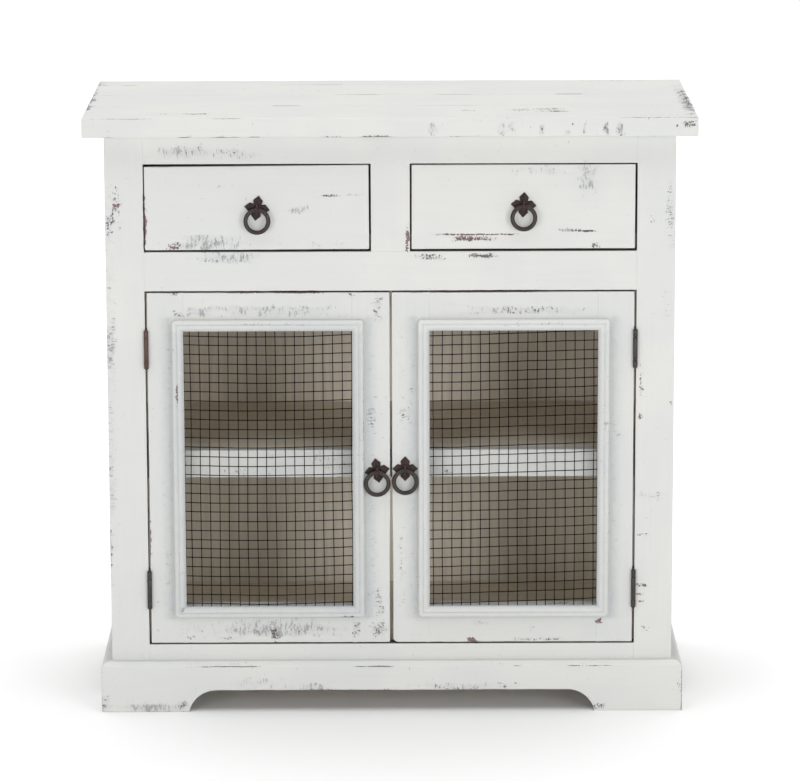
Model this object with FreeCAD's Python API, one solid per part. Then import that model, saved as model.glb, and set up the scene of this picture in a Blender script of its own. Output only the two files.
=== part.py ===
# Accent cabinet in painted wood: two drawers over two wire mesh doors, on a plinth with arched feet.
# Millimetres. +Z is up, the front faces -Y, and the origin is on the floor under the middle of the top.
import FreeCAD, Part
import math
import os

V = FreeCAD.Vector

# Overall sizes
cabinet_height = 813.0
top_length = 813.0
top_depth = 380.0
top_thickness = 26.0
front_overhang = 27.0
side_overhang = 27.5
top_board_shares = (0.32, 0.29, 0.27, 0.12)
top_rounding = 2.0

# Face frame
frame_thickness = 22.0
stile_width = 51.0
centre_stile_width = 52.0
top_rail_width = 39.0
drawer_opening_height = 118.0
middle_rail_width = 53.0
floor_level = 91.0
arris = 1.0
tenon_length = 25.0
short_tenon_length = 18.0
tenon_thickness = 8.0
tenon_shoulder = 6.0
glue_clearance = 0.15

# Plinth
plinth_height = 69.0
plinth_thickness = 14.0
plinth_chamfer = 6.0
arch_height = 30.0
arch_curve_width = 37.0
front_foot_width = 118.0
side_foot_width = 95.0
leg_inset = 8.0
block_width = 34.0

# Carcass
side_thickness = 18.0
floor_thickness = 18.0
housing_depth = 6.0
back_thickness = 6.0
back_recess = 0.5
rabbet_width = 9.0
panel_clearance = 0.3
back_foot_height = 45.0
back_rail_width = 40.0
back_rail_thickness = 20.0
divider_thickness = 18.0

# Shelf
shelf_level = 354.5
shelf_thickness = 18.0
shelf_rail_width = 38.0
shelf_rail_thickness = 20.0
shelf_clearance = 1.6
cleat_width = 20.0
cleat_height = 25.0

# Drawers
drawer_gap = 2.0
drawer_front_thickness = 18.0
drawer_lap = 10.0
drawer_side_thickness = 12.0
drawer_side_height = 95.0
drawer_side_clearance = 3.0
drawer_rear_space = 18.5
drawer_bottom_thickness = 5.0
drawer_bottom_lift = 9.7
drawer_groove_depth = 5.0
groove_clearance = 0.15
runner_thickness = 18.0
runner_bearing = 16.0
runner_clearance = 0.3
guide_height = 20.0
guide_clearance = 0.6

# Doors
door_thickness = 22.0
door_end_gap = 2.0
meeting_gap = 2.6
hinge_stile_width = 48.4
meeting_stile_width = 50.5
door_rail_width = 51.8
moulding_width = 15.5
moulding_height = 8.0
moulding_rounding = 2.5
moulding_bevel_width = 6.8
moulding_bevel_drop = 3.8
mesh_rebate_width = 8.0
mesh_rebate_clearance = 0.2
left_door_worn_corner = 4.0
right_door_worn_corner = 9.0
worn_corner_depth = 4.0

# Wire mesh
mesh_pitch = 12.7
mesh_wire = 1.0
mesh_wire_sides = 6
mesh_margin = 7.0
left_mesh_shift = 3.7
right_mesh_shift = 0.4
mesh_drop = 1.2

# Hinges
leaf_thickness = 1.2
leaf_clearance = 0.2
leaf_width_share = 0.9
barrel_radius = 3.2
pin_radius = 1.5
pin_clearance = 0.08
pin_head_radius = 2.4
pin_head_top_radius = 1.4
pin_head_height = 1.5
hinge_height = 51.6
middle_knuckle_share = 0.6
knuckle_clearance = 0.25
upper_hinge_distance = 53.0
lower_hinge_distance = 51.0

# Ring pulls
pull_plate_thickness = 2.0
pull_plate_edge_clearance = 0.4
plate_point_share = 0.39
plate_shoulder_share = 0.37
plate_notch_share = 0.31
eye_wire = 2.4
eye_slack = 3.0
ring_hang_clearance = 0.2
eye_seat_clearance = 0.1
shank_radius = 1.8
shank_clearance = 0.2
shank_arm_length = 11.0
ring_wire = 5.75
ring_meeting_clearance = 0.8
ring_moulding_clearance = 0.5
left_door_pull_level = 331.6
right_door_pull_level = 334.0
left_drawer_pull_rise = 0.0
right_drawer_pull_rise = 3.4
left_drawer_tilt = -8.6
right_drawer_tilt = -3.4
left_door_tilt = 9.3
right_door_tilt = 0.0

# Catches
catch_from_meeting = 40.0
catch_width = 30.0
catch_depth = 18.0
catch_height = 16.0
catch_hold_height = 22.0
catch_clearance = 0.3
strike_thickness = 1.0
strike_drop = 3.0

# Working allowances
overrun = 5.0
match_distance = 0.01

# Places worked out from the sizes
body_half_width = top_length / 2 - side_overhang
body_front = front_overhang - top_depth / 2
body_back = top_depth / 2
body_top = cabinet_height - top_thickness
frame_back = body_front + frame_thickness
door_back = body_front + door_thickness
inside_front = max(frame_back, door_back)
opening_half_width = body_half_width - stile_width
centre_stile_half = centre_stile_width / 2
drawer_opening_top = body_top - top_rail_width
drawer_opening_bottom = drawer_opening_top - drawer_opening_height
door_opening_top = drawer_opening_bottom - middle_rail_width
door_opening_bottom = floor_level
inner_half_width = body_half_width - side_thickness
back_front = body_back - back_recess - back_thickness
plinth_half_width = body_half_width + plinth_thickness
plinth_front_face = body_front - plinth_thickness
leg_opening_height = arch_height + leg_inset


def box(x, y, z):
    """The block that fills the span given on each axis."""
    corner = V(min(x), min(y), min(z))
    return Part.makeBox(max(x) - min(x), max(y) - min(y), max(z) - min(z), corner)


def grown(span, margin):
    """A span with the margin added at both ends."""
    return (min(span) - margin, max(span) + margin)


def mirrored(shape):
    """The shape's twin on the other side of the cabinet."""
    return shape.mirror(V(0, 0, 0), V(1, 0, 0))


def on_side(shape, side):
    """A shape drawn on the right, kept there or moved to the left."""
    return shape if side > 0 else mirrored(shape)


def edges_at(solid, **places):
    """The edges whose ends all lie at the given places, such as y=0."""
    found = []
    for edge in solid.Edges:
        gaps = [abs(getattr(vertex.Point, axis) - place)
                for vertex in edge.Vertexes for axis, place in places.items()]
        if max(gaps) < match_distance:
            found.append(edge)
    return found


def eased(solid, *edge_lists):
    """The solid with the arrises in the lists taken off."""
    return solid.makeChamfer(arris, [edge for edges in edge_lists for edge in edges])


def joined(first, *others):
    """One solid made of several that meet."""
    return first.fuse(list(others)).removeSplitter()


def prism(points, travel):
    """A polygon carried straight along the travel vector."""
    return Part.Face(Part.makePolygon(list(points) + [points[0]])).extrude(travel)


def save(name, *solids):
    """Write one node, as one solid or as a group of separate ones."""
    shape = solids[0] if len(solids) == 1 else Part.makeCompound(list(solids))
    shape.exportStep("parts/" + name + ".step")


def tenon_span(thickness, front):
    """Where a tenon lies through the thickness of a rail."""
    middle = front + thickness / 2
    return (middle - tenon_thickness / 2, middle + tenon_thickness / 2)


# The top: four glued boards with rounded outer edges
def make_top():
    half = top_length / 2
    slab = box((-half, half), (-top_depth / 2, top_depth / 2), (body_top, cabinet_height))
    slab = slab.makeFillet(top_rounding, slab.Edges)
    boards = []
    front = -top_depth / 2
    for share in top_board_shares:
        back = front + share * top_depth
        board = box((-half, half), (front, back), (body_top, cabinet_height))
        boards.append(slab.common(board))
        front = back
    save("top_panel", *boards)


# Plinth: an arch between feet, its ends quarter curves that meet the apron level
def arch_void(half_at_floor, y):
    """The space under the arch, drawn across X and carried along Y."""
    radius = (arch_curve_width ** 2 + arch_height ** 2) / (2 * arch_height)
    half_sweep = math.asin(arch_curve_width / radius) / 2
    half_flat = half_at_floor - arch_curve_width
    side = half_flat + radius * math.sin(half_sweep)
    rise = arch_height - radius + radius * math.cos(half_sweep)
    y0 = min(y)
    below = V(0, 0, -overrun)
    left_foot = V(-half_at_floor, y0, 0)
    left_top = V(-half_flat, y0, arch_height)
    right_top = V(half_flat, y0, arch_height)
    right_foot = V(half_at_floor, y0, 0)
    edges = [
        Part.Arc(left_foot, V(-side, y0, rise), left_top).toShape(),
        Part.LineSegment(left_top, right_top).toShape(),
        Part.Arc(right_top, V(side, y0, rise), right_foot).toShape(),
        Part.LineSegment(right_foot, right_foot + below).toShape(),
        Part.LineSegment(right_foot + below, left_foot + below).toShape(),
        Part.LineSegment(left_foot + below, left_foot).toShape(),
    ]
    return Part.Face(Part.Wire(edges)).extrude(V(0, max(y) - y0, 0))


def make_plinth():
    front = prism(
        [V(-plinth_half_width, plinth_front_face, 0),
         V(plinth_half_width, plinth_front_face, 0),
         V(body_half_width, body_front, 0),
         V(-body_half_width, body_front, 0)],
        V(0, 0, plinth_height))
    front = front.makeChamfer(plinth_chamfer, edges_at(front, y=plinth_front_face, z=plinth_height))
    arch_half = plinth_half_width - front_foot_width
    front = front.cut(arch_void(arch_half, grown((plinth_front_face, body_front), overrun)))
    save("plinth_front", front)

    side = prism(
        [V(plinth_half_width, plinth_front_face, 0),
         V(plinth_half_width, body_back, 0),
         V(body_half_width, body_back, 0),
         V(body_half_width, body_front, 0)],
        V(0, 0, plinth_height))
    side = side.makeChamfer(plinth_chamfer, edges_at(side, x=plinth_half_width, z=plinth_height))
    side_length = body_back - plinth_front_face
    void = arch_void(side_length / 2 - side_foot_width, grown((body_half_width, plinth_half_width), overrun))
    void.rotate(V(0, 0, 0), V(0, 0, 1), -90)
    void.translate(V(0, (body_back + plinth_front_face) / 2, 0))
    side = side.cut(void)
    save("plinth_right", side)
    save("plinth_left", mirrored(side))

    blocks = []
    for y in ((frame_back, frame_back + block_width), (back_front - block_width, back_front)):
        block = box((inner_half_width - block_width, inner_half_width), y, (0, floor_level - floor_thickness))
        blocks += [block, mirrored(block)]
    save("plinth_blocks", *blocks)


# Face frame: rails tenoned into stiles that run down to the floor
def rail_tenons(x_shoulders, z, length, front, thickness, clearance):
    """The tenons at both ends of a level rail, or their mortises when a clearance is given."""
    height = grown(z, -tenon_shoulder)
    y = tenon_span(thickness, front)
    tenons = []
    for shoulder, outward in ((max(x_shoulders), 1), (min(x_shoulders), -1)):
        reach = shoulder + outward * (length + clearance)
        tenons.append(box((shoulder, reach), grown(y, clearance), grown(height, clearance)))
    return tenons


def make_frame():
    y = (body_front, frame_back)
    top_rail = (drawer_opening_top, body_top)
    middle_rail = (door_opening_top, drawer_opening_bottom)
    bottom_rail = (leg_opening_height, door_opening_bottom)
    x = (-opening_half_width, opening_half_width)

    stile = box((opening_half_width, body_half_width), y, (0, body_top))
    stile = eased(stile, edges_at(stile, x=body_half_width, y=body_front))
    for rail in (top_rail, middle_rail, bottom_rail):
        mortises = rail_tenons(x, rail, tenon_length, body_front, frame_thickness, glue_clearance)
        stile = stile.cut(mortises[0])
    save("frame_stile_right", stile)
    save("frame_stile_left", mirrored(stile))

    post_x = (-centre_stile_half, centre_stile_half)
    post = box(post_x, y, (drawer_opening_bottom, drawer_opening_top))
    post = eased(post, edges_at(post, x=centre_stile_half, y=body_front),
                 edges_at(post, x=-centre_stile_half, y=body_front))
    tenon_x = grown(post_x, -tenon_shoulder)
    tenon_y = tenon_span(frame_thickness, body_front)
    tenon_z = grown((drawer_opening_bottom, drawer_opening_top), short_tenon_length)
    save("frame_centre_stile", joined(post, box(tenon_x, tenon_y, tenon_z)))
    post_mortise = box(grown(tenon_x, glue_clearance), grown(tenon_y, glue_clearance),
                       grown(tenon_z, glue_clearance))

    eased_at = {"top": [drawer_opening_top], "middle": list(middle_rail), "bottom": [door_opening_bottom]}
    for name, z in (("top", top_rail), ("middle", middle_rail), ("bottom", bottom_rail)):
        rail = box(x, y, z)
        rail = eased(rail, *[edges_at(rail, y=body_front, z=level) for level in eased_at[name]])
        rail = joined(rail, *rail_tenons(x, z, tenon_length, body_front, frame_thickness, 0))
        save("frame_" + name + "_rail", rail.cut(post_mortise))


# Carcass: sides, floor, back, divider and the rail under the back of the top
def make_carcass():
    panel = box((inner_half_width, body_half_width), (frame_back, body_back), (0, body_top))
    panel = eased(panel, edges_at(panel, x=body_half_width, y=body_back))
    rabbet = box((inner_half_width - overrun, inner_half_width + rabbet_width),
                 (back_front, body_back + overrun),
                 (back_foot_height - panel_clearance, body_top + overrun))
    housing = box((inner_half_width - overrun, inner_half_width + housing_depth),
                  (frame_back - overrun, back_front), (floor_level - floor_thickness, floor_level))
    leg_front = plinth_front_face + side_foot_width - leg_inset
    leg_back = body_back - side_foot_width + leg_inset
    leg_gap = box(grown((inner_half_width, body_half_width), overrun), (leg_front, leg_back),
                  (-overrun, leg_opening_height))
    panel = panel.cut(rabbet).cut(housing).cut(leg_gap)
    save("side_panel_right", panel)
    save("side_panel_left", mirrored(panel))

    floor_half = inner_half_width + housing_depth
    save("floor_board", box((-floor_half, floor_half), (frame_back, back_front),
                            (floor_level - floor_thickness, floor_level)))

    back_half = inner_half_width + rabbet_width - panel_clearance
    save("back_panel", box((-back_half, back_half), (back_front, back_front + back_thickness),
                           (back_foot_height, body_top)))

    rail_front = back_front - back_rail_thickness
    back_rail_z = (body_top - back_rail_width, body_top)
    save("back_top_rail", box((-inner_half_width, inner_half_width), (rail_front, back_front), back_rail_z))

    half = divider_thickness / 2
    divider_z = (drawer_opening_bottom - runner_thickness, body_top)
    divider = box((-half, half), (frame_back, back_front), divider_z)
    notch = box((-half, half), (rail_front, back_front), back_rail_z)
    save("drawer_divider", divider.cut(notch))


# Shelf: a board on cleats, with a deep front rail
def make_shelf():
    front = inside_front + eye_wire + shelf_clearance
    board_front = front + shelf_rail_thickness
    underside = shelf_level - shelf_thickness
    rail = box((-inner_half_width, inner_half_width), (front, board_front),
               (shelf_level - shelf_rail_width, shelf_level))
    save("shelf_front_rail", eased(rail, edges_at(rail, y=front)))
    board_half = inner_half_width - panel_clearance
    save("shelf_board", box((-board_half, board_half), (board_front, back_front - panel_clearance),
                            (underside, shelf_level)))
    cleat = box((inner_half_width - cleat_width, inner_half_width), (board_front, back_front),
                (underside - cleat_height, underside))
    save("shelf_cleats", cleat, mirrored(cleat))


# Drawer sizes that the runners share
slab_x = (centre_stile_half + drawer_gap, opening_half_width - drawer_gap)
slab_z = (drawer_opening_bottom + drawer_gap, drawer_opening_top - drawer_gap)
slab_back = body_front + drawer_front_thickness
drawer_x = (centre_stile_half + drawer_side_clearance, opening_half_width - drawer_side_clearance)
drawer_z0 = drawer_opening_bottom + runner_clearance
drawer_rear = back_front - drawer_rear_space
drawer_centre_x = (centre_stile_half + opening_half_width) / 2
drawer_centre_z = (drawer_opening_bottom + drawer_opening_top) / 2


def make_runners():
    """A bearer under each drawer side, with a guide beside it and a stop behind it."""
    y = (frame_back, back_front)
    bearer_z = (drawer_opening_bottom - runner_thickness, drawer_opening_bottom)
    guide_z = (drawer_opening_bottom, drawer_opening_bottom + guide_height)
    stop_y = (drawer_rear + panel_clearance, back_front)
    runners = []
    outer_runner = (inner_half_width, drawer_x[1], -1)
    inner_runner = (divider_thickness / 2, drawer_x[0], 1)
    for wall, side_face, inward in (outer_runner, inner_runner):
        reach = side_face + inward * runner_bearing
        guide = side_face - inward * guide_clearance
        runner = joined(box((wall, reach), y, bearer_z), box((wall, guide), y, guide_z),
                        box((wall, reach), stop_y, guide_z))
        runners += [runner, mirrored(runner)]
    save("drawer_runners", *runners)


# Door sizes
hinge_gap = 2 * leaf_thickness + leaf_clearance
door_x = (meeting_gap / 2, opening_half_width - hinge_gap)
door_z = (door_opening_bottom + door_end_gap, door_opening_top - door_end_gap)
sight_x = (door_x[0] + meeting_stile_width, door_x[1] - hinge_stile_width)
sight_z = grown(door_z, -door_rail_width)
moulding_edge = sight_x[0] - moulding_width
pull_x = (door_x[0] + moulding_edge) / 2

# Ring pulls: a plate of four pointed arms, a split pin with an eye, and a ring that hangs low in the eye.
# The rings of the two doors hang side by side, and each passes just in front of the moulding's round edge.
plate_reach = moulding_edge - pull_x - pull_plate_edge_clearance
pull_plate_face = body_front - pull_plate_thickness
ring_radius = pull_x - ring_meeting_clearance - ring_wire / 2
eye_radius = (ring_wire + eye_slack + eye_wire) / 2
ring_drop = eye_slack / 2 - ring_hang_clearance
ring_keep_off = ring_wire / 2 + moulding_rounding + ring_moulding_clearance
ring_to_edge = max(moulding_edge + moulding_rounding - pull_x - ring_radius, 0)
ring_rise = math.sqrt(max(ring_keep_off ** 2 - ring_to_edge ** 2, 0))
eye_standoff = max(moulding_height - moulding_rounding + ring_rise,
                   pull_plate_thickness + eye_radius + eye_wire / 2 + eye_seat_clearance)
eye_y = body_front - eye_standoff


def shank_hole(x, z, back):
    """The hole for the split pin through whatever lies behind the plate."""
    start = V(x, pull_plate_face - overrun, z)
    return Part.makeCylinder(shank_radius + shank_clearance, back + overrun - start.y, start, V(0, 1, 0))


def pull_plate(x, z, tilt):
    """Four arms that widen to their shoulders, end in points and meet in notches, lying flat on the front."""
    shoulder = (1 - plate_point_share) * plate_reach
    half = plate_shoulder_share * plate_reach
    notch = plate_notch_share * plate_reach
    corners = []
    for right, up in ((1, 0), (0, 1), (-1, 0), (0, -1)):
        for along, across in ((shoulder, -half), (plate_reach, 0), (shoulder, half), (notch, notch)):
            corners.append(V(along * right - across * up, body_front, along * up + across * right))
    plate = prism(corners, V(0, -pull_plate_thickness, 0))
    plate.rotate(V(0, 0, 0), V(0, 1, 0), -tilt)
    plate.translate(V(x, 0, z))
    return plate.cut(shank_hole(x, z, body_front))


def pull_staple(x, z, back):
    """The eye, its shank through the wood, and the two arms bent flat behind."""
    eye = Part.makeTorus(eye_radius, eye_wire / 2, V(x, eye_y, z), V(1, 0, 0))
    shank_start = eye_y + eye_radius
    arm_y = back + eye_wire / 2
    shank = Part.makeCylinder(shank_radius, arm_y - shank_start, V(x, shank_start, z), V(0, 1, 0))
    arm_start = V(x - shank_arm_length, arm_y, z)
    arms = Part.makeCylinder(eye_wire / 2, 2 * shank_arm_length, arm_start, V(1, 0, 0))
    return joined(eye, shank, arms)


def pull_ring(x, z):
    """The ring, hanging with its wire just clear of the bottom of the eye."""
    centre = V(x, eye_y, z - ring_drop - ring_radius)
    return Part.makeTorus(ring_radius, ring_wire / 2, centre, V(0, 1, 0))


def save_pull(name, x, z, back, tilt):
    save(name + "_pull_plate", pull_plate(x, z, tilt))
    save(name + "_pull_staple", pull_staple(x, z, back))
    save(name + "_ring", pull_ring(x, z))


def make_drawer(name, side, tilt, pull_rise):
    """A slab front lapped over the sides, a back between them and a bottom in grooves."""
    front = box(slab_x, (body_front, slab_back), slab_z)
    front = eased(front, edges_at(front, y=body_front))
    inside_x = grown(drawer_x, -drawer_side_thickness)
    lap_y = (slab_back - drawer_lap, slab_back + overrun)
    side_z = (drawer_z0, drawer_z0 + drawer_side_height)
    laps = [box((inside_x[0], slab_x[0] - overrun), lap_y, grown(side_z, glue_clearance)),
            box((inside_x[1], slab_x[1] + overrun), lap_y, grown(side_z, glue_clearance))]
    bottom_z = (drawer_z0 + drawer_bottom_lift, drawer_z0 + drawer_bottom_lift + drawer_bottom_thickness)
    bottom_x = grown(inside_x, drawer_groove_depth)
    bottom_y = (slab_back - drawer_groove_depth, drawer_rear)
    groove = box(grown(bottom_x, groove_clearance), grown(bottom_y, groove_clearance),
                 grown(bottom_z, groove_clearance))
    pull_z = drawer_centre_z + pull_rise
    hole = shank_hole(drawer_centre_x, pull_z, slab_back)
    front = front.cut(laps[0]).cut(laps[1]).cut(groove).cut(hole)
    save(name + "_front", on_side(front, side))

    side_y = (slab_back - drawer_lap, drawer_rear)
    boards = []
    for x in ((drawer_x[0], inside_x[0]), (inside_x[1], drawer_x[1])):
        boards.append(on_side(box(x, side_y, side_z).cut(groove), side))
    save(name + "_sides", *boards)

    back = box(inside_x, (drawer_rear - drawer_side_thickness, drawer_rear), (bottom_z[1], side_z[1]))
    save(name + "_back", on_side(back, side))
    save(name + "_bottom", on_side(box(bottom_x, bottom_y, bottom_z), side))
    save_pull(name, side * drawer_centre_x, pull_z, slab_back, tilt)


# Catch places, behind the top of each door near the meeting stiles
catch_x = grown((door_x[0] + catch_from_meeting,) * 2, catch_width / 2)
strike_z = (door_z[1] - strike_drop - catch_height, door_z[1] - strike_drop)

# Hinge places
pin_x = opening_half_width - hinge_gap / 2
pin_y = body_front - barrel_radius
pin_bore_radius = pin_radius + pin_clearance
leaf_end_y = body_front + leaf_width_share * min(frame_thickness, door_thickness)
hinge_levels = (door_opening_bottom + lower_hinge_distance,
                door_opening_top - upper_hinge_distance - hinge_height)


def hinge_spans(z0, middle):
    """The height spans of the door's middle knuckle, or of the frame's two end knuckles."""
    length = middle_knuckle_share * hinge_height
    z1 = z0 + (hinge_height - length) / 2
    z2 = z1 + length
    if middle:
        return [(z1 + knuckle_clearance / 2, z2 - knuckle_clearance / 2)]
    return [(z0, z1 - knuckle_clearance / 2), (z2 + knuckle_clearance / 2, z0 + hinge_height)]


def hinge_leaf(z0, x_faces, middle):
    """A flat leaf in the gap with its knuckles rolled round the pin."""
    start = pin_y + (pin_bore_radius + barrel_radius) / 2
    plate_start = body_front + knuckle_clearance
    leaf = box(x_faces, (plate_start, leaf_end_y), (z0, z0 + hinge_height))
    tabs = []
    for z in hinge_spans(z0, middle):
        foot = V(pin_x, pin_y, z[0])
        tabs.append(box(x_faces, (start, plate_start), z))
        tabs.append(Part.makeCylinder(barrel_radius, z[1] - z[0], foot))
    bore = Part.makeCylinder(pin_bore_radius, hinge_height + 2 * overrun, V(pin_x, pin_y, z0 - overrun))
    return joined(leaf, *tabs).cut(bore)


def hinge_pin(z0):
    """A pin with a blunt button at each end."""
    pin = Part.makeCylinder(pin_radius, hinge_height, V(pin_x, pin_y, z0))
    head = (pin_head_radius, pin_head_top_radius, pin_head_height)
    upper = Part.makeCone(*head, V(pin_x, pin_y, z0 + hinge_height))
    lower = Part.makeCone(*head, V(pin_x, pin_y, z0), V(0, 0, -1))
    return joined(pin, upper, lower)


def make_hinges():
    half_clearance = leaf_clearance / 2
    frame_faces = (pin_x + half_clearance, opening_half_width)
    leaves = []
    pins = []
    for z0 in hinge_levels:
        leaf = hinge_leaf(z0, frame_faces, False)
        pin = hinge_pin(z0)
        leaves += [leaf, mirrored(leaf)]
        pins += [pin, mirrored(pin)]
    save("frame_hinge_leaves", *leaves)
    save("hinge_pins", *pins)


def moulding_strip(start, along, inward, length):
    """A strip with a rounded outer edge and a bevel towards the opening, mitred at both ends."""
    forward = V(0, -1, 0)
    r = moulding_rounding
    flat_end = moulding_width - moulding_bevel_width
    rebate = 2 * mesh_wire + mesh_rebate_clearance
    rebate_edge = moulding_width - mesh_rebate_width

    def at(u, v):
        return start + inward * u + forward * v

    corner = at(r, moulding_height - r)
    diagonal = (forward - inward) * (r / math.sqrt(2))
    points = [at(r, moulding_height), at(flat_end, moulding_height),
              at(moulding_width, moulding_height - moulding_bevel_drop), at(moulding_width, rebate),
              at(rebate_edge, rebate), at(rebate_edge, 0), at(0, 0), at(0, moulding_height - r)]
    edges = [Part.LineSegment(a, b).toShape() for a, b in zip(points, points[1:])]
    edges.append(Part.Arc(points[-1], corner + diagonal, points[0]).toShape())
    strip = Part.Face(Part.Wire(edges)).extrude(along * length)
    mitre = prism([start, start + along * length,
                   start + along * (length - moulding_width) + inward * moulding_width,
                   start + (along + inward) * moulding_width], forward * (moulding_height + overrun))
    return strip.common(mitre)


def wire(start, along, length):
    """A wire rolled nearly round, with flats where crossing wires lie on each other."""
    corner_radius = mesh_wire / 2 / math.cos(math.pi / mesh_wire_sides)
    depth = V(0, 1, 0)
    across = depth.cross(along)
    corners = []
    for side in range(mesh_wire_sides):
        angle = (2 * side + 1) * math.pi / mesh_wire_sides
        arm = depth * math.cos(angle) + across * math.sin(angle)
        corners.append(start + arm * corner_radius)
    return prism(corners, along * length)


def make_mesh(shift):
    """Level wires with upright wires against their front, laid a little towards the meeting stile."""
    radius = mesh_wire / 2
    width = sight_x[1] - sight_x[0]
    height = sight_z[1] - sight_z[0]
    columns = int(width // mesh_pitch) + 1
    rows = int(height // mesh_pitch) + 1
    first_x = (sum(sight_x) - (columns - 1) * mesh_pitch) / 2 - shift
    first_z = (sum(sight_z) - (rows - 1) * mesh_pitch) / 2 - mesh_drop
    wires = []
    for row in range(rows):
        start = V(sight_x[0] - mesh_margin, body_front - radius, first_z + row * mesh_pitch)
        wires.append(wire(start, V(1, 0, 0), width + 2 * mesh_margin))
    for column in range(columns):
        start = V(first_x + column * mesh_pitch, body_front - mesh_wire - radius, sight_z[0] - mesh_margin)
        wires.append(wire(start, V(0, 0, 1), height + 2 * mesh_margin))
    return wires


def worn_corner(radius):
    """What wear has taken off the door's lower meeting corner, at the front only."""
    x = door_x[0]
    z = door_z[0]
    y = (body_front - overrun, body_front + worn_corner_depth)
    block = box((x - overrun, x + radius), y, (z - overrun, z + radius))
    centre = V(x + radius, min(y), z + radius)
    return block.cut(Part.makeCylinder(radius, max(y) - min(y), centre, V(0, 1, 0)))


def make_door(name, side, tilt, pull_level, mesh_shift, worn_radius):
    """A tenoned frame with wire mesh on its face, held by a mitred moulding."""
    y = (body_front, door_back)
    hinge_stile = box((sight_x[1], door_x[1]), y, door_z)
    meeting_stile = box((door_x[0], sight_x[0]), y, door_z)
    hinge_stile = eased(hinge_stile, edges_at(hinge_stile, y=body_front, x=door_x[1]))
    meeting_stile = eased(meeting_stile, edges_at(meeting_stile, y=body_front, x=door_x[0]))
    rails = {"bottom": (door_z[0], sight_z[0]), "top": (sight_z[1], door_z[1])}
    outer_edge = {"bottom": door_z[0], "top": door_z[1]}
    for end, z in rails.items():
        rail = box(sight_x, y, z)
        rail = eased(rail, edges_at(rail, y=body_front, z=outer_edge[end]))
        rail = joined(rail, *rail_tenons(sight_x, z, tenon_length, body_front, door_thickness, 0))
        save(name + "_" + end + "_rail", on_side(rail, side))
        mortises = rail_tenons(sight_x, z, tenon_length, body_front, door_thickness, glue_clearance)
        hinge_stile = hinge_stile.cut(mortises[0])
        meeting_stile = meeting_stile.cut(mortises[1])
    hole = shank_hole(pull_x, pull_level, door_back)
    meeting_stile = meeting_stile.cut(hole).cut(worn_corner(worn_radius))
    save(name + "_hinge_stile", on_side(hinge_stile, side))
    save(name + "_meeting_stile", on_side(meeting_stile, side))

    x0, x1 = grown(sight_x, moulding_width)
    z0, z1 = grown(sight_z, moulding_width)
    right = V(1, 0, 0)
    up = V(0, 0, 1)
    strips = [
        moulding_strip(V(x0, body_front, z0), right, up, x1 - x0),
        moulding_strip(V(x0, body_front, z1), right, -up, x1 - x0),
        moulding_strip(V(x0, body_front, z0), up, right, z1 - z0),
        moulding_strip(V(x1, body_front, z0), up, -right, z1 - z0),
    ]
    save(name + "_moulding", *[on_side(strip, side) for strip in strips])
    save(name + "_mesh", *[on_side(strand, side) for strand in make_mesh(mesh_shift)])

    door_faces = (door_x[1], pin_x - leaf_clearance / 2)
    save(name + "_hinge_leaves", *[on_side(hinge_leaf(z0, door_faces, True), side) for z0 in hinge_levels])
    strike = box(catch_x, (door_back, door_back + strike_thickness), strike_z)
    save(name + "_strike_plate", on_side(strike, side))
    save_pull(name, side * pull_x, pull_level, door_back, tilt)


def make_catches():
    """Catches fixed behind the middle rail, which the doors' strike plates meet."""
    front = door_back + strike_thickness + catch_clearance
    hold_z = (door_opening_top + catch_clearance, door_opening_top + catch_hold_height)
    catch = joined(box(catch_x, (front, front + catch_depth), (strike_z[0], hold_z[1])),
                   box(catch_x, (frame_back, front + catch_depth), hold_z))
    save("door_catches", catch, mirrored(catch))


os.makedirs("parts", exist_ok=True)
make_top()
make_plinth()
make_frame()
make_carcass()
make_shelf()
make_runners()
make_drawer("drawer_left", -1, left_drawer_tilt, left_drawer_pull_rise)
make_drawer("drawer_right", 1, right_drawer_tilt, right_drawer_pull_rise)
make_hinges()
make_door("door_left", -1, left_door_tilt, left_door_pull_level, left_mesh_shift, left_door_worn_corner)
make_door("door_right", 1, right_door_tilt, right_door_pull_level, right_mesh_shift, right_door_worn_corner)
make_catches()
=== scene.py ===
# %% [markdown]
# # A worn white accent cabinet
# The wooden frame of the cabinet comes from the CAD model: every board already has its size and place.
# This lesson dresses that frame. Each painted board is made again as a fine surface with soft, uneven
# arrises, and the paint is a set of shader groups that let dark wood show where hands and knocks wore it.
# All lengths are metres, +Z is up and the front of the cabinet faces -Y.

import bpy
import numpy as np
from mathutils import Matrix, Vector


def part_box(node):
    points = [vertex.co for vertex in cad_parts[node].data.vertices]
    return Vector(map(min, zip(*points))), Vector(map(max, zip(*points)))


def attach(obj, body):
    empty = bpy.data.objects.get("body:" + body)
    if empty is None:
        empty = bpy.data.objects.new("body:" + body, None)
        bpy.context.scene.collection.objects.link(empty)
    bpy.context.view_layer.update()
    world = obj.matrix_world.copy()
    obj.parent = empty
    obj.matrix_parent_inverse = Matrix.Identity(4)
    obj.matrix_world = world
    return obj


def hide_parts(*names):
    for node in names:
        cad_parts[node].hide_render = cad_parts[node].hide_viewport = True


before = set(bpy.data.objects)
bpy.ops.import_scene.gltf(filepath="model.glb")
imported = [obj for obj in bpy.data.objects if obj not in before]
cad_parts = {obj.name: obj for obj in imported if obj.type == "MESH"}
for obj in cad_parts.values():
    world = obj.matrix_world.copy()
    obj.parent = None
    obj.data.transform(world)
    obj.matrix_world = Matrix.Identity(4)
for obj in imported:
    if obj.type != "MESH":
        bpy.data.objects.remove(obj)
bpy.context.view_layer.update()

# %% [markdown]
# ## Reading sizes
# Nothing below guesses a size that the frame already knows. `span` gives the lowest and highest corner
# of a CAD node, and the cells that follow take their numbers from it.


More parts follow.
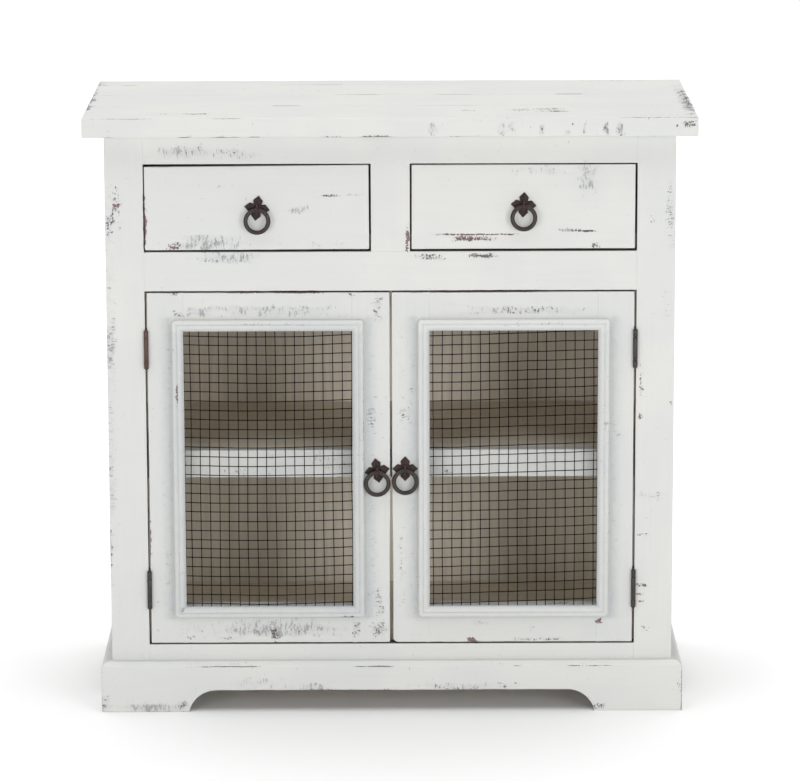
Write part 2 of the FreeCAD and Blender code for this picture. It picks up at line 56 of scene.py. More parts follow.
# %% Sizes from the frame
def span(node):
    """The lowest and highest corner of a CAD node as two numpy points."""
    low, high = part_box(node)
    return np.array(low), np.array(high)


top_low, top_high = span("top_panel")
stile_low, stile_high = span("frame_stile_right")
FRONT = stile_low[1]
BODY_HALF = stile_high[0]
OPENING_HALF = stile_low[0]
SIDES = {"left": -1, "right": 1}
print("front plane", round(FRONT, 4), "opening half width", round(OPENING_HALF, 4))

# %% [markdown]
# ## Camera
# The photograph was taken from nearly six metres with a long lens, a little above the cabinet, so the top
# shows as a shallow trapezoid. A long lens far away keeps the uprights nearly parallel. The camera is tilted
# down and not shifted, because a shifted lens would push the cabinet out of every other view.

# %% Camera
CAMERA_PLACE = (-0.0008, -5.8, 1.6)
LOOK_DOWN, LOOK_RIGHT, LEAN = np.radians([11.616, 0.132, -0.162])
camera_data = bpy.data.cameras.new("camera")
camera_data.lens = 193.38
camera_data.clip_end = 100.0
camera = bpy.data.objects.new("camera", camera_data)
aim = Matrix.Rotation(-LOOK_RIGHT, 4, "Z") @ Matrix.Rotation(np.pi / 2 - LOOK_DOWN, 4, "X")
camera.matrix_world = Matrix.Translation(CAMERA_PLACE) @ aim @ Matrix.Rotation(LEAN, 4, "Z")
bpy.context.scene.collection.objects.link(camera)
bpy.context.scene.camera = camera
print("camera", CAMERA_PLACE, "lens", round(camera_data.lens, 2), "mm")

# %% [markdown]
# ## Floor and light
# Two softboxes stand in front, left and right of the camera and lower than it, with a weak one near the
# floor. They shine straight into the cabinet, so the back board shows through the wires, brightest in the
# middle where both lights reach it. They also leave the soft grey shadows on both sides of the mouldings and
# the rings. A wide ceiling panel lights the top and the floor, and a plain white world fills in. The floor is
# one wide pale plane.


# %% Floor and world
def put_mesh(name, points, faces):
    """A mesh object from arrays: a row of x, y, z for each point and a row of point numbers for each face."""
    mesh = bpy.data.meshes.new(name)
    mesh.from_pydata(np.asarray(points, float).tolist(), [], [list(face) for face in faces])
    mesh.update()
    made = bpy.data.objects.new(name, mesh)
    bpy.context.scene.collection.objects.link(made)
    return made


def plain_material(name, colour, roughness):
    """A material of one colour, for the floor only."""
    material = bpy.data.materials.new(name)
    material.use_nodes = True
    surface = material.node_tree.nodes["Principled BSDF"]
    surface.inputs["Base Color"].default_value = (*colour, 1)
    surface.inputs["Roughness"].default_value = roughness
    return material


FLOOR_GREY, WORLD_STRENGTH = 0.88, 0.24
floor = put_mesh("floor", [(-30, -12, 0), (30, -12, 0), (30, 60, 0), (-30, 60, 0)], [(0, 1, 2, 3)])
floor.data.materials.append(plain_material("floor_white", (FLOOR_GREY,) * 3, 0.9))

world = bpy.data.worlds.new("studio")
world.use_nodes = True
world.node_tree.nodes["Background"].inputs["Color"].default_value = (1.0, 1.0, 1.0, 1)
world.node_tree.nodes["Background"].inputs["Strength"].default_value = WORLD_STRENGTH
bpy.context.scene.world = world
bpy.context.scene.view_settings.view_transform = "Standard"


# %% Lights
def softbox(name, place, aim, size, power):
    """A square area light that faces the point it is aimed at."""
    data = bpy.data.lights.new(name, "AREA")
    data.size = size
    data.energy = power
    light = bpy.data.objects.new(name, data)
    light.location = place
    light.rotation_euler = (Vector(aim) - Vector(place)).to_track_quat("-Z", "Y").to_euler()
    bpy.context.scene.collection.objects.link(light)


softbox("ceiling_panel", (0, 4.0, 8.0), (0, 4.0, 0), 20.0, 1960)
BOX_DISTANCE, BOX_SIZE, AIM_SHARE = 4.2, 1.5, 0.36
# name, degrees to the right of straight ahead, height and power
SOFTBOXES = (("left_softbox", -29, 1.05, 35.5), ("right_softbox", 29, 1.05, 45), ("low_softbox", 0, 0.45, 12))
for name, turn, height, power in SOFTBOXES:
    turn = np.radians(turn)
    place = (BOX_DISTANCE * np.sin(turn), -BOX_DISTANCE * np.cos(turn), height)
    softbox(name, place, (0, 0, AIM_SHARE * height), BOX_SIZE, power)
print("lights:", len(bpy.data.lights))

# %% [markdown]
# ## Small shader helpers
# Node trees are easier to read when each node is one line. `node` adds a node, sets its options and feeds
# its inputs, each from a plain value or from another node's output. `calc` is one Math node and `soft_step`
# turns a value into a mask with a soft border.


# %% Shader helpers
def node(tree, kind, feeds=None, **options):
    """Add a node and feed its inputs from values or from other nodes' outputs."""
    made = tree.nodes.new(kind)
    for key, value in options.items():
        setattr(made, key, value)
    for key, value in (feeds or {}).items():
        if isinstance(value, bpy.types.NodeSocket):
            tree.links.new(value, made.inputs[key])
        else:
            made.inputs[key].default_value = value
    return made


def calc(tree, operation, *values):
    """The output of one Math node."""
    return node(tree, "ShaderNodeMath", dict(enumerate(values)), operation=operation).outputs[0]


def soft_step(tree, value, low, high):
    """A mask that rises smoothly from 0 at low to 1 at high."""
    feeds = {"Value": value, "From Min": low, "From Max": high}
    return node(tree, "ShaderNodeMapRange", feeds, interpolation_type="SMOOTHSTEP").outputs["Result"]


def noise(tree, vector, scales, detail=2.0, roughness=0.5):
    """Noise of its own scale along each axis, as a value round 0.5."""
    stretched = node(tree, "ShaderNodeVectorMath", {0: vector, 1: scales}, operation="MULTIPLY").outputs[0]
    feeds = {"Vector": stretched, "Scale": 1.0, "Detail": detail, "Roughness": roughness}
    return node(tree, "ShaderNodeTexNoise", feeds).outputs["Fac"]


def mix(tree, factor, first, second):
    """A colour between two, by a mask."""
    made = tree.nodes.new("ShaderNodeMix")
    made.data_type = "RGBA"
    for place, value in ((0, factor), (6, first), (7, second)):
        if isinstance(value, bpy.types.NodeSocket):
            tree.links.new(value, made.inputs[place])
        else:
            made.inputs[place].default_value = value if place == 0 else (*value[:3], 1)
    return made.outputs[2]


def new_group(name, inputs, outputs):
    """An empty shader group with named sockets, and its tree, inputs and output node."""
    tree = bpy.data.node_groups.new(name, "ShaderNodeTree")
    for label, kind in inputs.items():
        tree.interface.new_socket(label, in_out="INPUT", socket_type=kind)
    for label, kind in outputs.items():
        tree.interface.new_socket(label, in_out="OUTPUT", socket_type=kind)
    start = tree.nodes.new("NodeGroupInput").outputs
    return tree, start, tree.nodes.new("NodeGroupOutput")


def finish_group(tree, end, **values):
    """Join the results to the group's outputs."""
    for label, value in values.items():
        tree.links.new(value, end.inputs[label])


def use_group(tree, name, **feeds):
    """Place a shader group and feed it."""
    placed = tree.nodes.new("ShaderNodeGroup")
    placed.node_tree = bpy.data.node_groups[name]
    for label, value in feeds.items():
        if isinstance(value, bpy.types.NodeSocket):
            tree.links.new(value, placed.inputs[label])
        else:
            placed.inputs[label].default_value = value
    return placed.outputs


def srgb(*values):
    """A colour given in ordinary 0 to 255 steps, as the linear values that shaders want."""
    part = np.array(values, float) / 255
    return tuple(np.where(part <= 0.04045, part / 12.92, ((part + 0.055) / 1.055) ** 2.4))


VALUE = "NodeSocketFloat"
COLOUR = "NodeSocketColor"
VECTOR = "NodeSocketVector"

# %% [markdown]
# ## Wood marks
# Three patterns make the wood under the paint. Brush marks are long streaks along the board. Saw marks are
# short dark dashes across it, left by the band saw, and they are where thin paint lets the wood through
# first. Specks are the size of a pin head. Each reads the board's own grain coordinates, in metres: x runs
# along the board, y and z across it.

# %% Group: wood marks
tree, start, end = new_group("wood_marks", {"Grain": VECTOR},
                             {"Brush": VALUE, "Saw": VALUE, "Speck": VALUE, "Clump": VALUE})
finish_group(tree, end,
             Brush=noise(tree, start["Grain"], (9, 210, 210), 4.0, 0.6),
             Saw=noise(tree, start["Grain"], (340, 100, 100), 3.0, 0.7),
             Speck=noise(tree, start["Grain"], (430, 360, 360), 2.0, 0.6),
             Clump=noise(tree, start["Grain"], (90, 110, 110), 4.0, 0.65))

# %% [markdown]
# ## Worn edges
# Paint leaves an arris first. The mesh tells the shader how far each point is from the nearest arris, and a
# slow noise along the board decides where the wear is. The fast noise makes its border ragged.

# %% Group: worn edge
tree, start, end = new_group(
    "worn_edge", {"Grain": VECTOR, "Distance": VALUE, "Amount": VALUE, "Width": VALUE, "Speck": VALUE},
    {"Mask": VALUE})
along = noise(tree, start["Grain"], (34, 60, 60), 4.0, 0.75)
distance = calc(tree, "DIVIDE", start["Distance"], start["Width"])
wear = calc(tree, "MULTIPLY_ADD", calc(tree, "SUBTRACT", along, 0.5), 2.4, start["Amount"])
wear = calc(tree, "MULTIPLY_ADD", calc(tree, "SUBTRACT", start["Speck"], 0.5), 1.2, wear)
wear = calc(tree, "MULTIPLY_ADD", distance, -0.8, wear)
finish_group(tree, end, Mask=soft_step(tree, wear, 0.42, 0.60))

# %% [markdown]
# ## White paint
# The paint is a cool white with warmer clouds and faint brush marks, greyed by grime and by painted shade
# beside the mouldings and on the plinth ledges.
# Over it lie three kinds of wear, each in its own channel of the mesh's `wear` colours: red is thin grey
# paint brushed almost away, green is dark wood showing in dashes and specks, and blue is the red-brown primer
# between them. Alpha adds wear at the edges. The channels only say where, and the noise says what it looks
# like there.

# %% Paint colours and wear masks
COOL_WHITE, WARM_WHITE, BRUSHED = srgb(203, 204, 202), srgb(206, 206, 202), srgb(193, 194, 193)
# The first colour on the next line is the grey of grime and painted shade, used beside the mouldings and on
# the ledges.
GRIMY_SHADE, THIN_PAINT, HATCHED = srgb(166, 170, 173), srgb(186, 188, 189), srgb(134, 133, 133)
DARK_WOOD, PALE_WOOD, PRIMER = srgb(58, 53, 52), srgb(90, 82, 78), srgb(98, 60, 58)

tree, start, end = new_group(
    "white_paint", {"Grain": VECTOR, "Distance": VALUE, "Grime": VALUE, "Wear": COLOUR, "Edge wear": VALUE},
    {"Color": COLOUR, "Roughness": VALUE, "Height": VALUE})
marks = use_group(tree, "wood_marks", Grain=start["Grain"])
channel = node(tree, "ShaderNodeSeparateColor", {"Color": start["Wear"]}).outputs


def excess(pattern, gain):
    """How far a pattern rises above its middle, times a gain."""
    return calc(tree, "MULTIPLY", calc(tree, "SUBTRACT", pattern, 0.5), gain)


def worn(amount, share, gains, low, high):
    """A mask of one channel of wear: amount times share, plus each pattern's excess, between low and high.

    The gains are for saw marks, specks, clumps and brush marks, which break the mask up.
    """
    total = calc(tree, "MULTIPLY_ADD", amount, share, excess(marks["Saw"], gains[0]))
    for label, gain in zip(("Speck", "Clump", "Brush"), gains[1:]):
        total = calc(tree, "ADD", total, excess(marks[label], gain))
    return soft_step(tree, total, low, high)


# %% Group: white paint
cloud = noise(tree, node(tree, "ShaderNodeTexCoord").outputs["Object"], (7, 9, 7), 2.0, 0.5)
paint = mix(tree, soft_step(tree, cloud, 0.40, 0.60), COOL_WHITE, WARM_WHITE)
streak = soft_step(tree, marks["Brush"], 0.56, 0.34)
paint = mix(tree, calc(tree, "MULTIPLY", streak, 0.12), paint, BRUSHED)
# Grime and painted shade: this input greys the paint beside the mouldings and on the ledges, for their shadow
# as well as for dirt.
grime = calc(tree, "MULTIPLY", start["Grime"], calc(tree, "MULTIPLY_ADD", marks["Clump"], 0.6, 0.25))
paint = mix(tree, grime, paint, GRIMY_SHADE)
thin = worn(channel["Red"], 1.0, (0.5, 0.2, 1.6, 0.0), 0.2, 1.2)
paint = mix(tree, calc(tree, "MULTIPLY", thin, 0.6), paint, THIN_PAINT)
hatch = worn(channel["Red"], 0.58, (2.8, 0.5, 0.8, 0.0), 0.56, 0.84)
paint = mix(tree, calc(tree, "MULTIPLY", hatch, 0.7), paint, HATCHED)
dark = worn(channel["Green"], 0.85, (0.9, 2.3, 0.8, 1.3), 0.74, 0.90)
red = worn(channel["Blue"], 0.95, (0.5, 2.2, 1.2, 0.0), 0.74, 0.86)
edge = use_group(tree, "worn_edge", Grain=start["Grain"], Distance=start["Distance"],
                 Amount=start["Edge wear"], Width=0.0009, Speck=marks["Speck"])["Mask"]
wood = mix(tree, soft_step(tree, marks["Clump"], 0.42, 0.62), DARK_WOOD, PALE_WOOD)
rusty = soft_step(tree, calc(tree, "MULTIPLY_ADD", marks["Speck"], 0.8, channel["Blue"]), 0.55, 1.0)
wood = mix(tree, calc(tree, "MULTIPLY", rusty, 0.85), wood, PRIMER)
bare = calc(tree, "MAXIMUM", calc(tree, "MAXIMUM", dark, red), edge)
colour = mix(tree, calc(tree, "MULTIPLY", bare, 0.85), paint, wood)
height = calc(tree, "MULTIPLY_ADD", marks["Brush"], 0.14, calc(tree, "MULTIPLY", marks["Saw"], 0.10))
height = calc(tree, "MULTIPLY_ADD", bare, -0.4, height)
polish = calc(tree, "MULTIPLY_ADD", marks["Brush"], 0.2, 0.45)
finish_group(tree, end, Color=colour, Height=height, Roughness=calc(tree, "MULTIPLY_ADD", bare, 0.25, polish))


# %% Materials for the painted boards
def new_material(name):
    """A material, its node tree and its Principled shader."""
    material = bpy.data.materials.new(name)
    material.use_nodes = True
    return material, material.node_tree, material.node_tree.nodes["Principled BSDF"]


def add_bump(tree, surface, height, distance):
    """Feed a height into the shader's normal, at full strength."""
    bump = node(tree, "ShaderNodeBump", {"Height": height, "Distance": distance, "Strength": 1.0})
    tree.links.new(bump.outputs["Normal"], surface.inputs["Normal"])


def attribute(tree, name, output):
    """One output of an Attribute node."""
    return node(tree, "ShaderNodeAttribute", attribute_name=name).outputs[output]


white_paint, tree, surface = new_material("white_paint")
feeds = {"Grain": attribute(tree, "grain", "Vector"), "Grime": attribute(tree, "grime", "Fac"),
         "Distance": attribute(tree, "edge", "Fac"), "Wear": attribute(tree, "wear", "Color"),
         "Edge wear": attribute(tree, "wear", "Alpha")}
look = use_group(tree, "white_paint", **feeds)
tree.links.new(look["Color"], surface.inputs["Base Color"])
tree.links.new(look["Roughness"], surface.inputs["Roughness"])
surface.inputs["Specular IOR Level"].default_value = 0.35
add_bump(tree, surface, look["Height"], 0.00035)

# %% [markdown]
# ## Inside paint and bare wood
# Inside, the cabinet has a thin greige wash that lets the grain through. The edges that face into the gaps
# are dark stained wood, which also stands for the shade in the gaps, with white where the brush slipped over
# the arris.
# Drawer boxes are plain pale pine, apart from the laps of their sides in the fronts, painted nearly black as
# the shade in the gap below each front.

# %% Group: grained wood
tree, start, end = new_group("grained_wood", {"Grain": VECTOR, "Light": COLOUR, "Dark": COLOUR},
                             {"Color": COLOUR, "Height": VALUE})
bend = noise(tree, start["Grain"], (3, 9, 9), 2.0)
BEND = 0.02
sideways = node(tree, "ShaderNodeCombineXYZ", {"X": 0.0, "Y": calc(tree, "MULTIPLY", bend, BEND),
                                               "Z": calc(tree, "MULTIPLY", bend, BEND)}).outputs[0]
bent = node(tree, "ShaderNodeVectorMath", {0: start["Grain"], 1: sideways}, operation="ADD").outputs[0]
rings = noise(tree, bent, (5, 120, 120), 4.0, 0.6)
fibre = noise(tree, start["Grain"], (20, 900, 900), 2.0)
finish_group(tree, end, Color=mix(tree, soft_step(tree, rings, 0.34, 0.66), start["Dark"], start["Light"]),
             Height=calc(tree, "MULTIPLY_ADD", fibre, 0.4, rings))


# %% Materials of wood
def wood_material(name, light, dark, roughness, order=None, gap_shade_before=None):
    """Grained wood in two tones. Order says which object axis runs along the grain, or None to read `grain`.

    The last argument is a place along y: in front of it the wood is painted nearly black, as the shade in the
    gap below a drawer front.
    """
    material, tree, surface = new_material(name)
    if order is None:
        grain = attribute(tree, "grain", "Vector")
    else:
        place = node(tree, "ShaderNodeTexCoord").outputs["Object"]
        parts = node(tree, "ShaderNodeSeparateXYZ", {"Vector": place}).outputs
        feeds = dict(zip("XYZ", (parts[axis] for axis in order)))
        grain = node(tree, "ShaderNodeCombineXYZ", feeds).outputs[0]
    look = use_group(tree, "grained_wood", Grain=grain, Light=(*light, 1), Dark=(*dark, 1))
    colour = look["Color"]
    if gap_shade_before is not None:
        # Painted shade: the wood in front of that place is nearly black, so the gap below each drawer front
        # reads dark.
        bare = soft_step(tree, parts["Y"], gap_shade_before - 0.0005, gap_shade_before)
        colour = mix(tree, bare, srgb(34, 28, 25), colour)
    tree.links.new(colour, surface.inputs["Base Color"])
    surface.inputs["Roughness"].default_value = roughness
    surface.inputs["Specular IOR Level"].default_value = 0.3
    add_bump(tree, surface, look["Height"], 0.0003)
    return material


GREIGE = (srgb(232, 225, 212), srgb(220, 212, 198))
PINE = (srgb(214, 186, 142), srgb(190, 156, 110))
# Dark stained wood for the faces in the gaps, which also stands for the shade there.
STAINED_SHADED = (srgb(142, 137, 126), srgb(106, 101, 92))
inside_level = wood_material("inside_paint_level", *GREIGE, 0.6, "XYZ")
inside_upright = wood_material("inside_paint_upright", *GREIGE, 0.6, "ZXY")
inside_deep = wood_material("inside_paint_deep", *GREIGE, 0.6, "YXZ")
pine_level = wood_material("pine_level", *PINE, 0.62, "XYZ")
pine_deep = wood_material("pine_deep", *PINE, 0.62, "YXZ", gap_shade_before=span("drawer_left_front")[1][1])
stained_shaded_edge = wood_material("stained_shaded_edge", *STAINED_SHADED, 0.7)
inside_board = wood_material("inside_board", *GREIGE, 0.6)

# %% [markdown]
# ## Soft noise for shapes
# Real boards are never quite straight. `ripple` adds up a few sine waves with seeded random directions,
# which is smooth, quick over whole arrays, and the same on every run.


# %% Ripple
def ripple(points, lengths, seed):
    """Smooth noise from -1 to 1: the mean of sine waves, one for each wavelength, in random directions."""
    random = np.random.default_rng(seed)
    total = np.zeros(len(points))
    for length in lengths:
        way = random.normal(size=3)
        way *= 2 * np.pi / length / np.linalg.norm(way)
        total += np.sin(points @ way + random.uniform(0, 2 * np.pi))
    return total / len(lengths)


# %% [markdown]
# ## Where the paint has worn
# Wear isn't even, so its places are listed as a restorer would note them: the middle of the mark, its half
# sizes, and how much of each kind it has. Marks on the front are given by x and z, and marks on the top by
# x and y, all in millimetres. Boards that the notes don't reach get a few marks at random. A few long grey
# bands beside the door mouldings are painted shadow of the mouldings, not wear.

# %% Wear notes
# x, z, half width, half height, then grey, dark, red-brown and edge wear
FRONT_MARKS = [
    # top rail and stiles
    (-270, 763, 32, 8, 1, 0.5, 0, 0), (-208, 762, 28, 7, 0.9, 0.4, 0, 0), (-364, 692, 8, 36, 0.4, 0.75, 0, 0),
    (-365, 692, 5, 6, 0, 0.5, 1, 0), (-374, 668, 5, 24, 0.4, 0.9, 0.1, 0.6),
    (-376, 440, 8, 260, 0.5, 0, 0, 0), (-373, 504, 7, 30, 0.6, 0.62, 0, 0.3),
    (-357, 418, 4, 20, 0.2, 0.42, 0, 0), (-378, 224, 3, 38, 0.2, 0.1, 0.7, 1.2),
    (-377, 330, 5, 60, 0.3, 0.1, 0, 0.3), (373, 683, 7, 42, 0.7, 0.66, 0, 0.3),
    (350, 673, 6, 10, 0.2, 0.5, 0, 0), (353, 295, 22, 6, 0.6, 0.5, 0, 0),
    (342, 241, 11, 2.4, 0.7, 0.95, 0, 0), (338, 171, 9, 3, 0.7, 1, 0, 0), (337, 159, 8, 2.6, 0, 0.6, 1.2, 0),
    (338, 150, 11, 2.4, 0.7, 0.85, 0, 0), (341, 111, 6, 4, 0.3, 0.65, 0, 0),
    (375, 421, 4, 11, 0.2, 0.8, 0, 0.6), (335, 445, 4, 30, 0.2, 0.7, 0.2, 0),
    (335, 405, 4, 5, 0, 1.1, 0.8, 0), (368, 560, 8, 26, 0.4, 0.2, 0, 0),
    # middle rail
    (-216, 622, 46, 8, 1, 0.4, 0, 0), (126, 624, 24, 3.2, 1.1, 1.3, 0, 0), (52, 623, 22, 4, 0.8, 0.8, 0, 0),
    (22, 649, 3, 18, 0.3, 0.9, 1.2, 0.8),
    # left drawer front
    (-326, 663, 2.6, 38, 0.4, 1, 1.1, 1.2), (-289, 637, 10, 7, 0.4, 0.7, 0.9, 0),
    (-255, 640, 26, 11, 1, 0.35, 0.3, 0), (-215, 640, 26, 10, 0.8, 0.3, 0, 0),
    (-84, 705, 17, 1.7, 1, 1.2, 0, 0), (-50, 706, 15, 1.6, 0.7, 0.75, 0, 0),
    (-119, 686, 15, 6, 1.1, 0.3, 0, 0), (-208, 743, 9, 3, 0.6, 0.5, 0, 0), (-225, 717, 5, 2, 0.6, 0.75, 0, 0),
    (-100, 640, 80, 4, 0.4, 0.1, 0.3, 0.4),
    # right drawer front
    (106, 646, 32, 4.4, 1.3, 1.3, 0.5, 0), (128, 651.5, 46, 1.2, 0.9, 1.2, 1.1, 0),
    (75, 652, 22, 1.4, 0.7, 0.6, 0, 0), (262, 655.5, 16, 1.6, 0.8, 1.15, 0, 0),
    (240, 656.5, 26, 2.4, 1.1, 0.4, 0, 0), (265, 724, 13, 24, 0.95, 0.15, 0, 0),
    (190, 738, 60, 6, 0.6, 0.1, 0, 0), (274, 636, 7, 3.4, 0.6, 1.1, 0, 0), (72, 718, 8, 4, 0.4, 0.2, 0, 0),
    # left door frame; the long grey bands beside its moulding, at x -299, -300, -25 and -24, are painted
    # shadow of the moulding
    (-172, 549, 92, 8, 0.85, 0.3, 0, 0), (-286, 545, 8, 6, 0.5, 0.75, 0.6, 0),
    (-262, 548, 14, 6, 0.8, 0.55, 0, 0), (-295, 573, 12, 3, 0.3, 0.8, 0, 0.6),
    (-194, 575.5, 26, 1.6, 0.3, 0.6, 0.8, 1), (-120, 575.5, 46, 2, 0.3, 0.7, 1, 1.2),
    (-51, 572, 7, 4, 0.3, 0.8, 0.6, 0.6), (-299, 425, 7, 96, 0.35, 0.05, 0, 0),
    (-25, 425, 6, 90, 0.4, 0.12, 0, 0), (-27, 407, 7, 16, 0.9, 0.5, 0, 0), (-24, 245, 7, 80, 0.4, 0.05, 0, 0),
    (-300, 230, 8, 90, 0.35, 0, 0, 0), (-138, 112, 66, 11, 0.68, 0.15, 0, 0),
    (-138, 106, 30, 5, 0, 0.3, 0, 0), (-190, 110, 110, 12, 0.45, 0.1, 0, 0),
    (-157, 101, 5, 9, 0.6, 0.8, 0, 0), (-47, 110, 6, 13, 0.7, 0.8, 0, 0), (-17, 148, 8, 17, 0.9, 0.72, 0, 0),
    (-16, 110, 11, 14, 0.9, 0.8, 0, 0.3), (-272, 100, 5, 4, 0.4, 0.8, 0, 0.4),
    (-219, 98, 20, 3, 0.4, 0.3, 0.6, 0.2), (-17, 556, 7, 22, 0.6, 0.7, 0, 0.4),
    (-324, 232, 3, 36, 0.2, 0.1, 0.6, 0.9),
    # right door frame; the long grey bands beside its moulding, at x 27, 32 and 296, are painted shadow of
    # the moulding
    (110, 96, 10, 4, 0.2, 0.5, 1.3, 0.4), (282, 121, 5, 5, 0.1, 0.5, 1.3, 0),
    (204, 97, 34, 2.4, 0.7, 1, 0, 0.3), (191, 111, 7, 5, 0.4, 0.55, 0, 0), (32, 185, 6, 54, 0.45, 0.36, 0, 0),
    (121, 120, 12, 4, 0.6, 0.4, 0, 0), (110, 576, 90, 1.6, 0.3, 0.6, 0.9, 1.3),
    (170, 549, 80, 6, 0.95, 0.5, 0, 0), (13, 459, 5, 100, 0.3, 0.2, 0, 0.4),
    (27, 430, 6, 90, 0.35, 0.12, 0, 0), (296, 300, 8, 150, 0.35, 0.05, 0, 0),
    (14, 200, 5, 60, 0.4, 0.4, 0, 0.5), (18, 410, 6, 10, 0.6, 0.5, 0, 0),
    # mouldings
    (-158, 534, 64, 1.6, 0.2, 0.7, 0.9, 0.3), (-286, 436, 1.8, 19, 0.2, 0.4, 0.9, 0.4),
    (-286, 192, 4, 38, 0.3, 0.2, 0.1, 0.8), (-59, 131, 15, 1.5, 0.3, 1.1, 0, 0.5),
    (-282, 140, 4, 5, 0.5, 0.85, 0, 0.6), (-40, 410, 6, 90, 0.2, 0.1, 0, 0.55),
    (180, 532, 100, 3, 0.5, 0.2, 0, 0.45), (285, 380, 4, 60, 0.4, 0.1, 0, 0.4),
    # plinth
    (-228, 64, 44, 3, 0.5, 0.2, 0.2, 1.05), (-25, 63, 34, 4, 0.5, 0.3, 0, 0.95),
    (152, 65, 30, 3, 0.3, 0.1, 0, 0.7), (262, 64, 42, 3, 0.3, 0.1, 0, 0.8),
    (-286, 6, 11, 8, 0.8, 0.7, 0, 0.6), (-330, 5, 60, 6, 0.6, 0.1, 0, 0.6),
    (-390, 14, 8, 15, 0.8, 0.75, 0, 0.8), (-55, 30, 58, 3, 0.4, 0, 0.6, 0.85),
    (98, 34, 70, 5, 0.7, 0.55, 0, 0.3), (-105, 35, 22, 6, 0.8, 0.2, 0.3, 0.2),
    (280, 5, 9, 5, 0.8, 0.95, 0, 0.8), (391, 32, 4, 33, 0.5, 0.8, 0, 1.1), (358, 25, 2, 2, 0, 1.2, 0, 0),
    (-326, 7, 27, 7, 0.7, 0.3, 0, 0.3), (-172, 38, 47, 9, 0.5, 0.1, 0, 0), (-262, 8, 8, 8, 0.6, 0.7, 0, 0.4),
    # front edge of the top
    (57, 800, 6, 10, 0.9, 0.1, 0, 0), (240, 804, 2, 2, 0, 1.1, 0, 0), (160, 803, 4.6, 6, 1, 0.45, 0, 0),
    (148, 799, 6, 10, 0.7, 0, 0, 0), (201, 797, 4, 10, 1.2, 0.5, 0, 0), (233, 793, 6, 5, 1, 0.4, 0, 0),
    (256, 798, 2.2, 10, 1.1, 0.8, 0, 0), (284, 797, 3.8, 9, 1.2, 0.6, 0, 0),
    (301, 797, 4.6, 10, 1.2, 0.7, 0.1, 0), (394, 804, 10, 5, 0.9, 0.95, 0.1, 0.3),
    (378, 801, 2, 2, 0, 1.1, 0, 0), (-371, 788, 7, 3, 0.3, 0.5, 0, 0.6), (-268, 788, 8, 2, 0.3, 0.7, 0, 1),
    (-216, 788, 18, 2, 0.3, 0.7, 0, 1.1), (-181, 788, 9, 2, 0.3, 0.7, 0, 1.1),
    (-76, 788, 17, 2, 0.3, 0.7, 0, 1), (-23, 788, 20, 2.5, 0.4, 1, 0, 1.4), (56, 789, 5, 3, 0.3, 0.6, 0, 0.9),
    (85, 788, 13, 2, 0.3, 0.5, 0, 0.9), (350, 788, 17, 2, 0.3, 0.4, 0, 0.5),
    (305, 789, 6, 1.4, 0.4, 0.5, 0.8, 0.6), (-351, 813, 46, 3, 0, 0, 0, 0.6),
    (-215, 813, 20, 2, 0, 0, 0.45, 0.7), (353, 813, 47, 3, 0, 0, 0.3, 0.6),
]
# x, y, half width, half depth, then the same four
TOP_MARKS = [
    (-364, 144, 12, 4, 0.3, 0, 0, 1), (-134, 144, 66, 4, 0.3, 0, 0, 1), (267, 144, 32, 4, 0.4, 0, 0, 0.8),
    (-51, 42, 32, 4, 0.5, 0, 0, 1.1), (92, 42, 28, 4, 0.4, 0, 0, 1), (245, 42, 21, 4, 0.6, 0, 0, 1.2),
    (-252, -68, 9, 4, 0.3, 0, 0, 0.9), (-139, -68, 18, 4, 0.3, 0, 0, 1.1),
    (-297, -147, 22, 5, 0.5, 0.85, 0, 0), (-257, -147, 18, 7, 0.7, 1.2, 0, 0),
    (104, -120, 13, 8, 0.5, 0.85, 0, 0), (173, -116, 20, 14, 0.5, 0.8, 0, 0),
    (216, -112, 22, 20, 0.4, 0.86, 0, 0), (225, -132, 16, 6, 0, 0.7, 0, 0),
    (397, -21, 9, 150, 0.8, 0.6, 0.2, 0.8), (402, -50, 5, 120, 0.6, 0.6, 0, 1),
    (-400, 165, 9, 26, 0.5, 0.5, 0, 0.9), (-403, -7, 6, 18, 0.5, 0.8, 0, 1.1),
    (-404, -86, 6, 22, 0.5, 0.7, 0, 1), (-405, 20, 3, 160, 0.6, 0.5, 0, 0.9),
    (-60, 90, 200, 30, 0.25, 0, 0, 0), (-401, 40, 7, 130, 0.3, 0.1, 0, 0.4),
    (310, 176, 60, 12, 0.5, 0.3, 0, 0.5), (-200, 176, 90, 8, 0.4, 0.2, 0, 0.3),
]


def fine_lines(low, high):
    """Places of small marks on a board, where its lattice needs extra lines: a list for each axis."""
    extra = [[], [], []]
    low, high = np.array(low) * 1000, np.array(high) * 1000
    spread = np.array([-1.4, -0.9, 0, 0.9, 1.4])
    for marks, axes, wanted in ((FRONT_MARKS, (0, 2), low[1] < FRONT * 1000 + 1),
                                (TOP_MARKS, (0, 1), high[2] > top_high[2] * 1000 - 1)):
        for mark in marks:
            middle, half = np.array(mark[:2]), np.array(mark[2:4])
            reach = [low[axes[k]] - half[k] < middle[k] < high[axes[k]] + half[k] for k in (0, 1)]
            for k in (0, 1):
                if wanted and all(reach) and half[k] < 5:
                    extra[axes[k]] += list((middle[k] + spread * half[k]) / 1000)
    return extra


# %% [markdown]
# ## Boards
# A board could be a cube with a Bevel modifier, but its arrises would all be alike. Here a board is the skin
# of a three-way lattice: grid lines run along each axis, close together near the ends. Each skin point q is
# pulled towards the board's inner box: with c the nearest point of the box shrunk by r, the new point is
# c + r (q - c) / |q - c|. That rounds every arris with radius r, and r itself ripples along the board.


# %% Board lattice
WORN_STRIP = (0.0015, 0.004)  # grid lines beside each arris, where the paint wears
CLOSE_LINES = 0.0006          # even grid lines closer than this to a mark's own line make way for it


